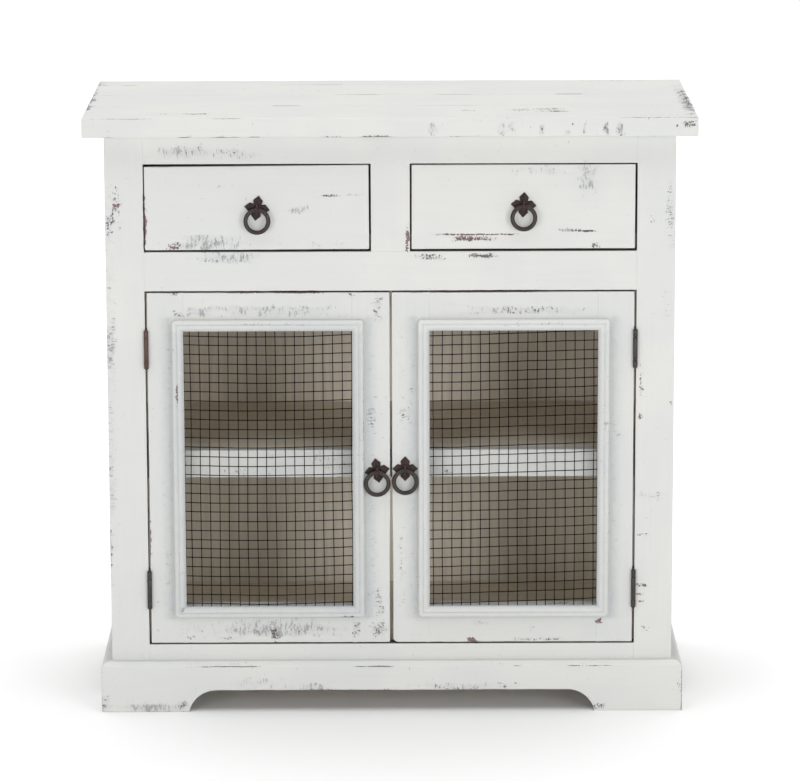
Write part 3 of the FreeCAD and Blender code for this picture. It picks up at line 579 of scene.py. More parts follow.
def grid_lines(low, high, radius, step, extra=()):
    """Grid lines on one axis: even turns over each arris, two lines for the worn strip, then even steps."""
    turn = radius * (1 - np.tan(np.radians([45, 30, 15, 0])))
    near = np.concatenate([turn, [radius + WORN_STRIP[0], radius + WORN_STRIP[1]]])
    if high - low < 2.5 * near[-1]:
        near = turn
    inner = np.arange(1, max(int(round((high - low - 2 * near[-1]) / step)), 1))
    inner = near[-1] + inner * (high - low - 2 * near[-1]) / (len(inner) + 1)
    lines = low + np.concatenate([near, inner, (high - low) - near[::-1]])
    wanted = np.unique(np.round([line for line in extra if low + near[-1] < line < high - near[-1]], 4))
    for line in wanted:
        lines = lines[np.abs(lines - line) > CLOSE_LINES]
    return np.sort(np.concatenate([lines, wanted]))


def skin(lines):
    """The skin of the lattice: its points, and its faces with their corners in outward order."""
    count = [len(line) for line in lines]
    place = np.indices(count)
    outside = np.zeros(count, bool)
    for axis in range(3):
        outside |= (place[axis] == 0) | (place[axis] == count[axis] - 1)
    number = np.full(count, -1)
    number[outside] = np.arange(outside.sum())
    points = np.stack([lines[axis][place[axis][outside]] for axis in range(3)], 1)
    sheets = ((number[0], -1), (number[-1], 1), (number[:, 0], 1), (number[:, -1], -1),
              (number[:, :, 0], -1), (number[:, :, -1], 1))
    faces = []
    for sheet, way in sheets:
        corners = np.stack([sheet[:-1, :-1], sheet[1:, :-1], sheet[1:, 1:], sheet[:-1, 1:]], -1)
        faces.append(corners.reshape(-1, 4)[:, ::way])
    return points, np.concatenate(faces)


# %% Board surface
TINY = 1e-9


def inside_of(points, box, border=0.0015):
    """1 inside a box, falling to 0 over a border round it."""
    low, high = np.array(box, float)
    return np.clip(1 + np.minimum(points - low, high - points) / border, 0, 1).min(1)


def rounded(points, inner, r, least=TINY):
    """Points q moved to c + r (q - c) / |q - c|, with c from `inner`, where they are over `least` from c."""
    out = points - inner
    length = np.linalg.norm(out, axis=1, keepdims=True)
    return np.where(length > least, inner + r * out / np.maximum(length, TINY), points)


def grain_of(points, along, seed):
    """Coordinates for the wood pattern: the along axis first, then moved by an amount of the board's own."""
    order = {"x": [0, 1, 2], "y": [1, 0, 2], "z": [2, 0, 1]}[along]
    return points[:, order] + np.random.default_rng(seed + 900).uniform(0, 40, 3)


def board(low, high, along, radius=0.001, seed=0, bow=0.0003, steps=(0.004, 0.004, 0.004), butt=(),
          joints=()):
    """A planed board between two corners. Its faces bow inwards by up to `bow` (one number, or one for each
    axis) and its arrises ripple by half their radius.

    `butt` lists the ends, as (axis, side), that stand flat against a neighbour. `joints` lists boxes where a
    neighbour's end meets this board's arris, and the arris closes up there.
    """
    low, high = np.array(low, float), np.array(high, float)
    bow = np.broadcast_to(bow, 3)
    extra = fine_lines(low, high)
    for axis in range(3):
        ends = [corner[axis] for box in joints for corner in box]
        extra[axis] += [end + shift for end in ends for shift in (-0.001, 0.0005)]
    flat, faces = skin([grid_lines(low[a], high[a], radius, steps[a], extra[a]) for a in range(3)])
    closed = np.max([np.zeros(len(flat))] + [inside_of(flat, box) for box in joints], axis=0)
    r = (radius * (1 + 0.5 * ripple(flat, (0.013, 0.029, 0.071), seed)) * (1 - closed))[:, None]
    turn_low, turn_high = np.ones(3), np.ones(3)
    for axis, side in butt:
        (turn_low if side < 0 else turn_high)[axis] = 0
    points = rounded(flat, np.clip(flat, low + r * turn_low, high - r * turn_high), r)
    for axis in range(3):
        share = (flat[:, axis] - low[axis]) / (high[axis] - low[axis])
        seeds = seed + 17 * axis
        from_low = (0.5 + 0.5 * ripple(flat, (0.11, 0.23, 0.37), seeds + 1)) * turn_low[axis]
        from_high = (0.5 + 0.5 * ripple(flat, (0.13, 0.19, 0.41), seeds + 2)) * turn_high[axis]
        points[:, axis] += bow[axis] * (from_low * (1 - share) - from_high * share) * (1 - closed)
    gap_low = flat - low + (1 - turn_low)
    gap_high = high - flat + (1 - turn_high)
    edge = np.sort(np.minimum(gap_low, gap_high), axis=1)[:, 1] + 0.02 * closed
    return {"points": points, "faces": faces, "rest": flat, "edge": edge,
            "grain": grain_of(flat, along, seed)}


def gathered(parts):
    """Several boards as one surface."""
    whole, offset = {key: [] for key in parts[0]}, 0
    for part in parts:
        for key in whole:
            whole[key].append(part[key] + offset if key == "faces" else part[key])
        offset += len(part["points"])
    return {key: np.concatenate(values) for key, values in whole.items()}


# %% [markdown]
# ## Reading the wear notes
# Each mark is a soft-edged patch whose outline wanders, so that no mark looks like a rectangle. Its four
# amounts are added up in the mesh's `wear` colours, and the paint shader breaks them into strokes and dots.


# %% Wear colours
FRONT_SKIN, TOP_SKIN = 0.003, 0.002  # how deep below the front and the top the notes reach
MOST_WEAR = 1.5


def marks_at(points, marks, axes, keep):
    """The sum of the marks at each point: each is exp(-(u**4 + v**4)), u and v in half sizes from its middle.

    The outline wanders, because u and v are both shifted by a ripple of the place.
    """
    total = np.zeros((len(points), 4))
    wander_u = 0.45 * ripple(points, (0.009, 0.021, 0.047), 11)
    wander_v = 0.45 * ripple(points, (0.008, 0.019, 0.053), 12)
    for first, second, half_first, half_second, *amount in marks:
        u = (points[:, axes[0]] * 1000 - first) / half_first + wander_u
        v = (points[:, axes[1]] * 1000 - second) / half_second + wander_v
        total += np.exp(-np.clip(u ** 4 + v ** 4, 0, 50))[:, None] * np.array(amount)
    return total * keep[:, None]


def random_marks(points, seed, amount):
    """A few long marks on the sides, the back and the top's underside, by seeded chance."""
    random = np.random.default_rng(seed + 5000)
    low, high = points.min(0), points.max(0)
    long_axis = int(np.argmax(high - low))
    total = np.zeros((len(points), 4))
    for _ in range(int(amount * 14)):
        middle = random.uniform(low, high)
        half = np.full(3, random.uniform(0.004, 0.010))
        half[long_axis] = random.uniform(0.012, 0.05)
        shape = np.exp(-np.clip((((points - middle) / half) ** 4).sum(1), 0, 50))
        total += shape[:, None] * np.array([random.uniform(0.4, 0.9), random.uniform(0.2, 0.7),
                                            random.uniform(0, 0.5) * (random.random() < 0.3), 0.2])
    return total


def wear_on(rest, seed, hidden_amount=1.0):
    """The wear colours at each point: the notes on the front and the top, and random marks elsewhere."""
    total = np.zeros((len(rest), 4))
    front = (rest[:, 1] < FRONT + FRONT_SKIN).astype(float)
    above = (rest[:, 2] > top_high[2] - TOP_SKIN).astype(float)
    total += marks_at(rest, FRONT_MARKS, (0, 2), front)
    total += marks_at(rest, TOP_MARKS, (0, 1), above)
    total += random_marks(rest, seed, hidden_amount) * (1 - np.clip(front + above, 0, 1))[:, None]
    slow = 0.5 + 0.5 * ripple(rest, (0.09, 0.21, 0.47), seed + 3)
    total[:, 3] += 0.02 + 0.22 * slow
    total[:, 0] += 0.10 * slow
    return np.clip(total, 0, MOST_WEAR)


# %% Making a painted piece
ATTRIBUTES = {"grain": ("FLOAT_VECTOR", "vector"), "edge": ("FLOAT", "value"), "grime": ("FLOAT", "value"),
              "wear": ("FLOAT_COLOR", "color")}
PAINTED = (white_paint, stained_shaded_edge, inside_board)


def seat(made, body, replaces=()):
    """Let an object ride on its body and in place of CAD nodes."""
    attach(made, body)
    if replaces:
        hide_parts(*replaces)


def dress(name, shape, body, replaces, seed, materials=(white_paint,), kinds=None, hidden_amount=1.0):
    """A painted object from a shape and its attributes. Kinds gives the number of each face's material."""
    shape["wear"] = wear_on(shape["rest"], seed, hidden_amount)
    made = put_mesh(name, shape["points"], shape["faces"])
    mesh = made.data
    for label, (kind, key) in ATTRIBUTES.items():
        if label in shape:
            mesh.attributes.new(label, kind, "POINT").data.foreach_set(key, shape[label].ravel())
    for material in materials:
        mesh.materials.append(material)
    if kinds is not None:
        mesh.polygons.foreach_set("material_index", kinds.astype(np.int32))
    mesh.polygons.foreach_set("use_smooth", np.ones(len(mesh.polygons), bool))
    mesh.update()
    seat(made, body, replaces)
    print(name, len(shape["faces"]), "faces")


def face_middles(shape):
    """The middle of each face before rounding."""
    return shape["rest"][shape["faces"]].mean(1)


def at_back(shape, high):
    """The faces on a board's back."""
    return face_middles(shape)[:, 1] > high[1] - 1e-5


def painted(name, shape, body, replaces, seed, stained_shaded=None, inside=None, hidden_amount=1.0):
    """A white board. The faces chosen as stained take the dark stained wood that stands for the shade in the
    gaps, and those chosen as inside take the inside wash.
    """
    kinds = np.zeros(len(shape["faces"]), int)
    for number, chosen in ((1, stained_shaded), (2, inside)):
        if chosen is not None:
            kinds[chosen] = number
    dress(name, shape, body, replaces, seed, PAINTED, kinds, hidden_amount)


# %% [markdown]
# ## The top
# Four boards are glued edge to edge and the outer arrises are planed off. Each is a board of its own here, so
# its own small arrises make the seam lines that show in places. The ends are cut with a saw and are wavy.

# %% The top
BOARD_SHARES = (0.32, 0.29, 0.27, 0.12)
OUTER_ARRIS = 0.0022
seams = top_low[1] + np.concatenate([[0], np.cumsum(BOARD_SHARES)]) * (top_high[1] - top_low[1])
strips = []
for number, (front, back) in enumerate(zip(seams[:-1], seams[1:])):
    strips.append(board((top_low[0], front, top_low[2]), (top_high[0], back, top_high[2]), "x", radius=0.0005,
                        seed=number + 1, bow=0.0005, steps=(0.0046, 0.0042, 0.006)))
top = gathered(strips)
outer = OUTER_ARRIS * (1 + 0.55 * ripple(top["rest"], (0.02, 0.05, 0.13), 77))[:, None]
inner = np.clip(top["points"], top_low + outer, top_high - outer)
top["points"] = rounded(top["points"], inner, outer, least=outer)
painted("top_boards", top, "root", ["top_panel"], 1)

# %% [markdown]
# ## Face frame and sides
# Stiles run from the floor to the top and rails fit between them. Only the front and the outside are painted
# white. The narrow faces inside the openings are dark stained wood, and their dark is also painted shade: it
# makes the gaps round the doors and drawers read as dark lines.


# %% Joints and gaps
INTO = 0.004  # how far the closed arris of a joint reaches past it


def in_gap(shape, depth=0.0035):
    """Faces that look sideways into an opening, a little behind the front."""
    corners = shape["rest"][shape["faces"]]
    across = np.abs(np.cross(corners[:, 2] - corners[:, 0], corners[:, 3] - corners[:, 1]))
    sideways = across[:, 1] < 0.5 * across.sum(1)
    middle = corners.mean(1)
    return sideways & (middle[:, 1] > FRONT + depth)


def clear_of(node, low, high, axis):
    """A board's corners with its ends cut back to where two neighbours start."""
    bottom, above = span(node)
    bottom[axis], above[axis] = low, high
    return bottom, above


def joint_box(x_low, x_high, z_low, z_high):
    """A box at the front round the place where a neighbour's end meets an arris."""
    return (x_low, FRONT - 0.01, z_low), (x_high, FRONT + INTO, z_high)


# %% Face frame
RAILS = ["frame_top_rail", "frame_middle_rail", "frame_bottom_rail"]
LYING = {"along": "x", "radius": 0.0011, "butt": ((0, -1), (0, 1))}
FRAME_BOARD = {"bow": (0.00012, 0.00002, 0.00012), "steps": (0.004, 0.008, 0.004)}
for side, sign in SIDES.items():
    node_name = "frame_stile_" + side
    low, high = span(node_name)
    inner_x = sorted((sign * (OPENING_HALF - 0.002), sign * (OPENING_HALF + INTO)))
    joints = [joint_box(*inner_x, span(rail)[0][2], span(rail)[1][2]) for rail in RAILS]
    shape = board(low, high, "z", radius=0.0012, seed=20 + sign, joints=joints, **FRAME_BOARD)
    opening = in_gap(shape) & (np.abs(face_middles(shape)[:, 0]) < OPENING_HALF + 0.001)
    painted("stile_" + side, shape, "root", [node_name], 20 + sign, stained_shaded=opening,
            inside=at_back(shape, high))

centre_low, centre_high = span("frame_centre_stile")
for number, node_name in enumerate(RAILS):
    low, high = clear_of(node_name, -OPENING_HALF, OPENING_HALF, 0)
    level = {0: low[2], 1: high[2]}.get(number)  # where the centre stile meets the rail
    joints = [] if level is None else [joint_box(centre_low[0], centre_high[0], level - INTO, level + INTO)]
    shape = board(low, high, seed=30 + number, joints=joints, **LYING, **FRAME_BOARD)
    painted(node_name.replace("frame_", ""), shape, "root", [node_name], 30 + number, stained_shaded=in_gap(shape),
            inside=at_back(shape, high))

rail_tops, rail_bottoms = span("frame_middle_rail")[1][2], span("frame_top_rail")[0][2]
low, high = clear_of("frame_centre_stile", rail_tops, rail_bottoms, 2)
shape = board(low, high, "z", radius=0.0011, seed=36, butt=((2, -1), (2, 1)), **FRAME_BOARD)
painted("centre_stile", shape, "root", ["frame_centre_stile"], 36, stained_shaded=in_gap(shape))


# %% [markdown]
# The side panels also stand on the floor, with a gap between their feet behind the side plinth. The gap is
# made by lifting the lower lattice points: z grows by the gap's height, less and less up to the waist.

# %% Side panels
plinth_low, plinth_high = span("plinth_right")
FOOT = 0.095
GAP_HEIGHT, GAP_MARGIN = 0.038, 0.008
SOLE, WAIST = 0.002, 0.118
INNER_FACE = 0.0179
gap_front, gap_back = plinth_low[1] + FOOT - GAP_MARGIN, plinth_high[1] - FOOT + GAP_MARGIN
for side, sign in SIDES.items():
    node_name = "side_panel_" + side
    low, high = span(node_name)
    shape = board(low, high, "z", seed=40 + sign, steps=(0.006, 0.005, 0.005))
    y, z = shape["rest"][:, 1], shape["rest"][:, 2]
    within = np.clip(np.minimum(y - gap_front, gap_back - y) / 0.001, 0, 1)
    fall = 1 - np.clip((z - SOLE) / WAIST, 0, 1)
    shape["points"][:, 2] += GAP_HEIGHT * within * fall
    inward = np.abs(face_middles(shape)[:, 0]) < BODY_HALF - INNER_FACE
    painted("side_" + side, shape, "root", [node_name], 40 + sign, inside=inward, hidden_amount=2.6)

# %% [markdown]
# ## Plinth
# The plinth boards have a bevelled top arris and an arch between two feet. A profile with rounded corners is
# carried along the board. The arch lifts the low points of the profile: z' = z + a(x) f(z), where a(x) is the
# arch's height there, a quarter curve at each foot and level between, and f falls from 1 at the bottom to 0
# at the bevel. At a mitred end each point stops on the plane where the two boards meet.


# %% Outlines
def rounded_outline(corners, radii, pieces=4):
    """A closed outline with each corner turned along an arc of its radius. A radius of 0 keeps the corner."""
    corners, outline = np.array(corners, float), []
    for here, radius in enumerate(radii):
        a, b, c = corners[here - 1], corners[here], corners[(here + 1) % len(corners)]
        if radius == 0:
            outline.append(b[None])
            continue
        to_a, to_c = (a - b) / np.linalg.norm(a - b), (c - b) / np.linalg.norm(c - b)
        half = np.arccos(np.clip(to_a @ to_c, -1, 1)) / 2
        back = radius / np.tan(half)
        start, stop = b + to_a * back, b + to_c * back
        centre = b + (to_a + to_c) / np.linalg.norm(to_a + to_c) * radius / np.sin(half)
        share = np.linspace(0, 1, pieces)[:, None]
        chord = start + (stop - start) * share
        away = chord - centre
        outline.append(centre + away / np.linalg.norm(away, axis=1, keepdims=True) * radius)
    return np.concatenate(outline)


def split_long(outline, longest):
    """The same closed outline with points added on its long straight runs."""
    result = []
    for here, after in zip(outline, np.roll(outline, -1, axis=0)):
        count = max(int(np.ceil(np.linalg.norm(after - here) / longest)), 1)
        result.append(here + (after - here) * np.arange(count)[:, None] / count)
    return np.concatenate(result)


def grid_faces(rows, columns, around=False, flip=False):
    """Faces of a grid of points whose rows are closed loops. `around` joins the last row to the first."""
    number = np.arange(rows * columns).reshape(rows, columns)
    beside = np.roll(number, -1, axis=1)
    ahead, both = np.roll(number, -1, axis=0), np.roll(beside, -1, axis=0)
    corners = [number, ahead, both, beside] if flip else [number, beside, both, ahead]
    return np.stack(corners, -1)[:rows if around else rows - 1].reshape(-1, 4)


def shut_faces(rows, columns, flip=False):
    """The same faces as lists, with the first and the last row as two flat ends."""
    first = list(range(columns))
    last = [corner + (rows - 1) * columns for corner in first]
    ends = [first, last[::-1]] if flip else [first[::-1], last]
    return grid_faces(rows, columns, flip=flip).tolist() + ends


def turned_over(faces):
    """The same faces with their corners in the opposite order."""
    return [face[::-1] for face in faces]


# %% Plinth shapes
ARCH_WIDTH, ARCH_HEIGHT = 0.037, 0.030
ARCH_RADIUS = (ARCH_WIDTH ** 2 + ARCH_HEIGHT ** 2) / (2 * ARCH_HEIGHT)


def arch_lift(x, half_at_floor):
    """How high the arch is at x: level in the middle, an arc of a circle at each foot, nothing outside."""
    into = np.clip(np.abs(x) - (half_at_floor - ARCH_WIDTH), 0, ARCH_WIDTH)
    lift = ARCH_HEIGHT - ARCH_RADIUS + np.sqrt(np.maximum(ARCH_RADIUS ** 2 - into ** 2, 0))
    return np.where(np.abs(x) >= half_at_floor, 0, np.maximum(lift, 0))


def arch_stations(half_length, half_at_floor, step=0.004, ends=0.0006, beside=0.0004):
    """Stations along a plinth board: even steps, and even turns of angle over the arch's two arcs."""
    sweep = np.arcsin(ARCH_WIDTH / ARCH_RADIUS)
    arc = half_at_floor - ARCH_WIDTH + ARCH_RADIUS * np.sin(np.linspace(0, sweep, 9))
    level = np.linspace(-arc[0], arc[0], int(2 * arc[0] / step))[1:-1]
    foot_count = int((half_length - half_at_floor) / step)
    left = np.linspace(-half_length + ends, -half_at_floor - beside, foot_count)
    right = np.linspace(half_at_floor + beside, half_length - ends, foot_count)
    return np.concatenate([[-half_length], left, -arc[::-1], level, arc, right, [half_length]])


def plinth_board(length_low, length_high, thickness, height, half_at_floor, mitres):
    """A plinth board along x with its face at y = 0 and its back at y = thickness."""
    bevel, small = 0.006, 0.0008
    corners = [(0, 0), (0, height - bevel), (bevel, height), (thickness, height), (thickness, 0)]
    outline = split_long(rounded_outline(corners, (small, 0.0015, 0.0015, small, small)), 0.004)
    middle = (length_low + length_high) / 2
    stations = middle + arch_stations(length_high - middle, half_at_floor)
    x, y = np.meshgrid(stations, outline[:, 0], indexing="ij")
    z = np.broadcast_to(outline[:, 1], x.shape).copy()
    fall = 1 - np.clip((z - SOLE) / (height - bevel - 0.004), 0, 1)
    z += arch_lift(x - middle, half_at_floor) * fall
    for end, way, mitred in ((length_low, -1, mitres[0]), (length_high, 1, mitres[1])):
        if mitred:
            ramp = np.clip(1 - np.abs(end - x) / 0.03, 0, 1)
            x = x - way * y * ramp
    flat = np.stack([x.ravel(), y.ravel(), z.ravel()], 1)
    edge = np.minimum(np.abs(z - (height - bevel)), np.abs(z - arch_lift(x - middle, half_at_floor)))
    edge = np.minimum(edge, np.minimum(np.abs(x - length_low), np.abs(length_high - x)))
    edge = np.where(y > 0.008, 0.01, edge + np.clip(y - 0.001, 0, 1))
    return flat, shut_faces(*x.shape, flip=True), edge.ravel()


# %% Plinth pieces
plinth_face, plinth_end = span("plinth_front")
board_thickness = plinth_end[1] - plinth_face[1]
tall = plinth_end[2]
FRONT_FOOT = 0.118
# Painted shadow on the plinth's ledge tops: deep on the side ledges under the top's overhang, faint on the
# front one.
LEDGE_SHADE = {"x": 0.15, "y": 0.9}


def add_plinth(name, node_name, flat, faces, edge, seed, along):
    """Dress one plinth board whose points are already in their place."""
    uneven = 0.00025 * np.stack([ripple(flat, (0.05, 0.12), seed + k) for k in range(3)], 1)
    shape = {"points": np.clip(flat + uneven, *span(node_name)), "rest": flat, "faces": faces, "edge": edge,
             "grain": grain_of(flat, along, seed)}
    shape["grime"] = LEDGE_SHADE[along] * np.clip((flat[:, 2] - tall + 0.004) / 0.003, 0, 1)
    dress(name, shape, "root", [node_name], seed)


flat, faces, edge = plinth_board(plinth_face[0], plinth_end[0], board_thickness, tall,
                                 plinth_end[0] - FRONT_FOOT, (True, True))
add_plinth("plinth_front_board", "plinth_front", flat + [0, plinth_face[1], 0], faces, edge, 50, "x")
for side, sign in SIDES.items():
    low, high = span("plinth_" + side)
    half = (high[1] - low[1]) / 2 - FOOT
    flat, faces, edge = plinth_board(low[1], high[1], board_thickness, tall, half, (True, False))
    turned = np.stack([sign * (plinth_high[0] - flat[:, 1]), flat[:, 0], flat[:, 2]], 1)
    faces = turned_over(faces) if sign < 0 else faces
    add_plinth("plinth_" + side + "_board", "plinth_" + side, turned, faces, edge, 52 + sign, "y")

# %% [markdown]
# ## Shelf and inside boards
# The shelf has a white front rail that catches the light behind the mesh. The boards behind it keep their CAD
# shape and take the greige wash, with the grain along each board's length.

# %% Shelf rail and inside
low, high = span("shelf_front_rail")
shape = board(low, high, "x", radius=0.0015, seed=60, steps=(0.004, 0.008, 0.004))
painted("shelf_rail", shape, "root", ["shelf_front_rail"], 60, inside=at_back(shape, high))


def give(material, *node_names):
    """Give CAD nodes a material in place of the one they were packed with."""
    for name in node_names:
        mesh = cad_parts[name].data
        mesh.materials.clear()
        mesh.materials.append(material)


give(inside_level, "floor_board", "shelf_board", "back_top_rail")
give(inside_upright, "back_panel", "plinth_blocks", "drawer_divider")
give(inside_deep, "shelf_cleats", "drawer_runners")
give(pine_deep, "drawer_left_sides", "drawer_right_sides")
give(pine_level, "drawer_left_back", "drawer_right_back", "drawer_left_bottom", "drawer_right_bottom")

# %% [markdown]
# ## Drawer fronts
# Each front was trimmed by hand and hangs a hair out of true: the left one leaves a thicker line above its
# left end, and both leave one below. The corners are moved by about a millimetre, blended over the board.


# %% Drawer fronts
def out_of_true(shape, low, high, moves):
    """Move the four corners in x and z, in millimetres, blending between them over the face."""
    u = ((shape["rest"][:, 0] - low[0]) / (high[0] - low[0]))[:, None]
    v = ((shape["rest"][:, 2] - low[2]) / (high[2] - low[2]))[:, None]
    lower = np.array(moves[0]) * (1 - u) + np.array(moves[1]) * u
    upper = np.array(moves[2]) * (1 - u) + np.array(moves[3]) * u
    shift = (lower * (1 - v) + upper * v) / 1000
    shape["points"][:, 0] += shift[:, 0]
    shape["points"][:, 2] += shift[:, 1]


# lower left, lower right, upper left and upper right corner
corner_moves = {"left": ((-0.9, 0.3), (-0.2, 1.1), (-0.7, -1.3), (-0.5, 0.6)),
                "right": ((0.1, 1.0), (-0.6, 1.3), (0.2, 0.4), (-0.5, 0.5))}
for side, sign in SIDES.items():
    drawer = "drawer_" + side
    low, high = span(drawer + "_front")
    shape = board(low, high, "x", radius=0.0011, seed=70 + sign, steps=(0.0025, 0.006, 0.0025))
    out_of_true(shape, low, high, corner_moves[side])
    painted("drawer_front_" + side, shape, drawer, [drawer + "_front"], 70 + sign, stained_shaded=in_gap(shape),
            inside=at_back(shape, high))

# %% [markdown]
# ## Doors
# Each door is two stiles and two rails. The lower corner where the doors meet is rounded by wear, more on the
# right door. Points outside a circle in that corner are pulled in to it, only near the front.


# %% Worn corners and painted shade
def wear_corner(shape, corner_x, corner_z, inward, radius, depth=0.012):
    """Pull the points outside a corner circle onto it: p = c + R (p - c) / |p - c|, fading over the depth."""
    centre = np.array([corner_x + inward * radius, corner_z + radius])
    offset = shape["points"][:, [0, 2]] - centre
    distance = np.linalg.norm(offset, axis=1)
    beyond = (offset[:, 0] * inward < 0) & (offset[:, 1] < 0) & (distance > radius)
    near = np.clip(1 - (shape["points"][:, 1] - FRONT) / depth, 0, 1)
    scale = 1 - (1 - radius / np.maximum(distance, TINY)) * near
    offset = np.where(beyond[:, None], offset * scale[:, None], offset)
    shape["points"][:, [0, 2]] = centre + offset


# How far the moulding's painted shadow reaches on the door boards.
SHADOW_REACH = (0.0120, 0.0040)  # beside the moulding, and above or below it
EVEN_GRIME, MOST_SHADOW = 0.16, 1.25


def grime_and_shadow_beside(points, low, high):
    """Even grime, and the moulding's painted shadow, which fades from it as exp(-u**2 - v**2): wide beside
    it, narrow below, little above.
    """
    out = np.maximum(np.maximum(low - points, points - high), 0)[:, [0, 2]]
    amount = 0.9 * (points[:, 2] < low[2]) + 1.35 * np.clip(out[:, 0] / 0.005, 0, 1)
    fade = np.exp(-((out / SHADOW_REACH) ** 2).sum(1)) * np.minimum(amount, MOST_SHADOW)
    return EVEN_GRIME + np.where(points[:, 1] < FRONT + 0.002, fade, 0)


# %% Door frames
WORN_RADIUS = {"left": 0.004, "right": 0.009}
DOOR_BOARD = {"bow": (0.00025, 0.00003, 0.00025), "steps": (0.003, 0.006, 0.003)}


def wear_meeting_stile(shape, corner, foot, side, sign):
    """Narrow the lower third of a meeting stile by up to 0.9 mm at its outer edge, and round its corner."""
    fall = np.clip(1 - np.abs(shape["rest"][:, 0] - corner) / 0.02, 0, 1)
    shape["points"][:, 0] += sign * 0.0009 * fall * np.clip((0.28 - shape["rest"][:, 2]) / 0.06, 0, 1)
    wear_corner(shape, corner, foot, sign, WORN_RADIUS[side])


for side, sign in SIDES.items():
    body = "door_" + side
    near, far = (0, 1) if sign > 0 else (1, 0)  # which end of a span is nearer to the middle of the cabinet
    inner_edges = {"hinge_stile": span(body + "_hinge_stile")[near][0],
                   "meeting_stile": span(body + "_meeting_stile")[far][0]}
    rails = [span(body + "_top_rail"), span(body + "_bottom_rail")]
    moulding = span(body + "_moulding")
    for part, seed in (("hinge_stile", 80), ("meeting_stile", 82)):
        stile = span(body + "_" + part)
        x = inner_edges[part]
        joints = [joint_box(x - INTO, x + INTO, low[2] - INTO, high[2] + INTO) for low, high in rails]
        shape = board(*stile, "z", radius=0.0011, seed=seed + sign, joints=joints, **DOOR_BOARD)
        shape["grime"] = grime_and_shadow_beside(shape["rest"], *moulding)
        if part == "meeting_stile":
            wear_meeting_stile(shape, stile[near][0], stile[0][2], side, sign)
        painted(body + "_" + part + "_board", shape, body, [body + "_" + part], seed + sign,
                stained_shaded=in_gap(shape))
    rail_x = sorted(inner_edges.values())
    for part, seed in (("top_rail", 84), ("bottom_rail", 86)):
        low, high = clear_of(body + "_" + part, *rail_x, 0)
        shape = board(low, high, seed=seed + sign, **LYING, **DOOR_BOARD)
        shape["grime"] = grime_and_shadow_beside(shape["rest"], *moulding)
        level = face_middles(shape)[:, 2]
        outer = level > high[2] - 0.001 if part == "top_rail" else level < low[2] + 0.001
        painted(body + "_" + part + "_board", shape, body, [body + "_" + part], seed + sign,
                stained_shaded=in_gap(shape) & outer)

# %% [markdown]
# ## Applied moulding
# A strip frames each mesh: rounded outside, flat on top, then a fine groove and a slope to the opening. Paint
# has filled its mitres, so it is one loop here. The profile gives pairs of inset and height, and each inset
# has its own round-cornered path: the outer paths turn with a small radius and the inner ones nearly square.
# Painted shade greys the slope, the groove and the bottom lip, grime greys the mitres, and the top run gets
# less.


# %% Moulding profile
STRIP_WIDTH, STRIP_HEIGHT, ROUNDING = 0.0155, 0.008, 0.0025
SLOPE_WIDTH, SLOPE_DROP, REBATE = 0.0084, 0.0044, 0.0022
TOE = STRIP_HEIGHT - SLOPE_DROP
CORNER_RADIUS, CORNER_TURNS, RUN_STEP = 0.0048, 6, 0.004


def moulding_outline():
    """The profile as pairs of inset and height. The slope is an arc that starts level."""
    curve = (SLOPE_WIDTH ** 2 + SLOPE_DROP ** 2) / (2 * SLOPE_DROP)
    run = np.linspace(0, 1, 8)[:-1] * SLOPE_WIDTH
    slope = list(zip(STRIP_WIDTH - SLOPE_WIDTH + run, STRIP_HEIGHT - curve + np.sqrt(curve ** 2 - run ** 2)))
    groove = [(0.0060, STRIP_HEIGHT), (0.0066, STRIP_HEIGHT - 0.0007)]
    profile = [(0, 0), (0, STRIP_HEIGHT), *groove, *slope, (STRIP_WIDTH, TOE), (STRIP_WIDTH, REBATE),
               (STRIP_WIDTH / 2, REBATE), (STRIP_WIDTH / 2, 0)]
    radii = (0.0002, ROUNDING, *[0] * (len(groove) + len(slope)), 0.0006, 0.0002, 0.0002, 0.0002)
    return split_long(rounded_outline(profile, radii, 5), 0.0035)


def corner_path(x0, x1, z0, z1, inset, runs):
    """Points round a rectangle drawn in by `inset`, with corners turned by the corner radius less the inset.

    Stations go round from the lower left corner: for each corner the even angles of its arc, then `runs`
    even steps to the next corner. The result has one row for each station and one column for each inset.
    """
    bend = np.maximum(CORNER_RADIUS - inset, 0.0009)
    left, right = x0 + inset + bend, x1 - inset - bend
    low, high = z0 + inset + bend, z1 - inset - bend
    arcs = []
    for x, z, start in ((left, low, 180), (right, low, 270), (right, high, 0), (left, high, 90)):
        angle = np.radians(start + np.linspace(0, 90, CORNER_TURNS))[:, None]
        arcs.append((x + bend * np.cos(angle), z + bend * np.sin(angle)))
    both = []
    for part in (0, 1):
        rows = []
        for here, run in enumerate(runs):
            arc, after = arcs[here][part], arcs[(here + 1) % 4][part]
            share = np.linspace(0, 1, run + 2)[1:-1, None]
            rows += [arc, arc[-1] + (after[0] - arc[-1]) * share]
        both.append(np.concatenate(rows))
    return both


# %% Moulding loop
def moulding_grime_and_shade(inset, z, low, high, runs, even):
    """Grey at each point: even on the whole strip, partly grime and partly painted shade, painted shade on
    the slope, in the groove and on the bottom lip, grime in the mitres, and less on the top run.
    """
    mitre = np.zeros((len(z), 1))
    for first in np.cumsum([0] + [CORNER_TURNS + run for run in runs[:3]]):
        mitre[first + 1:first + 5, 0] = (0.3, 0.6, 0.6, 0.3)
    slope = np.exp(-((STRIP_WIDTH - inset) / 0.0030) ** 2) * 0.5
    total = even - 0.35 * (z > high[2] - 0.016) + (slope + mitre * (inset > 0.7 * STRIP_WIDTH))
    total += 0.7 * np.exp(-((inset - 0.0066) / 0.0005) ** 2)
    total += 3.0 * ((inset > STRIP_WIDTH - 0.0002) & (z < low[2] + 0.02))
    return total.ravel()


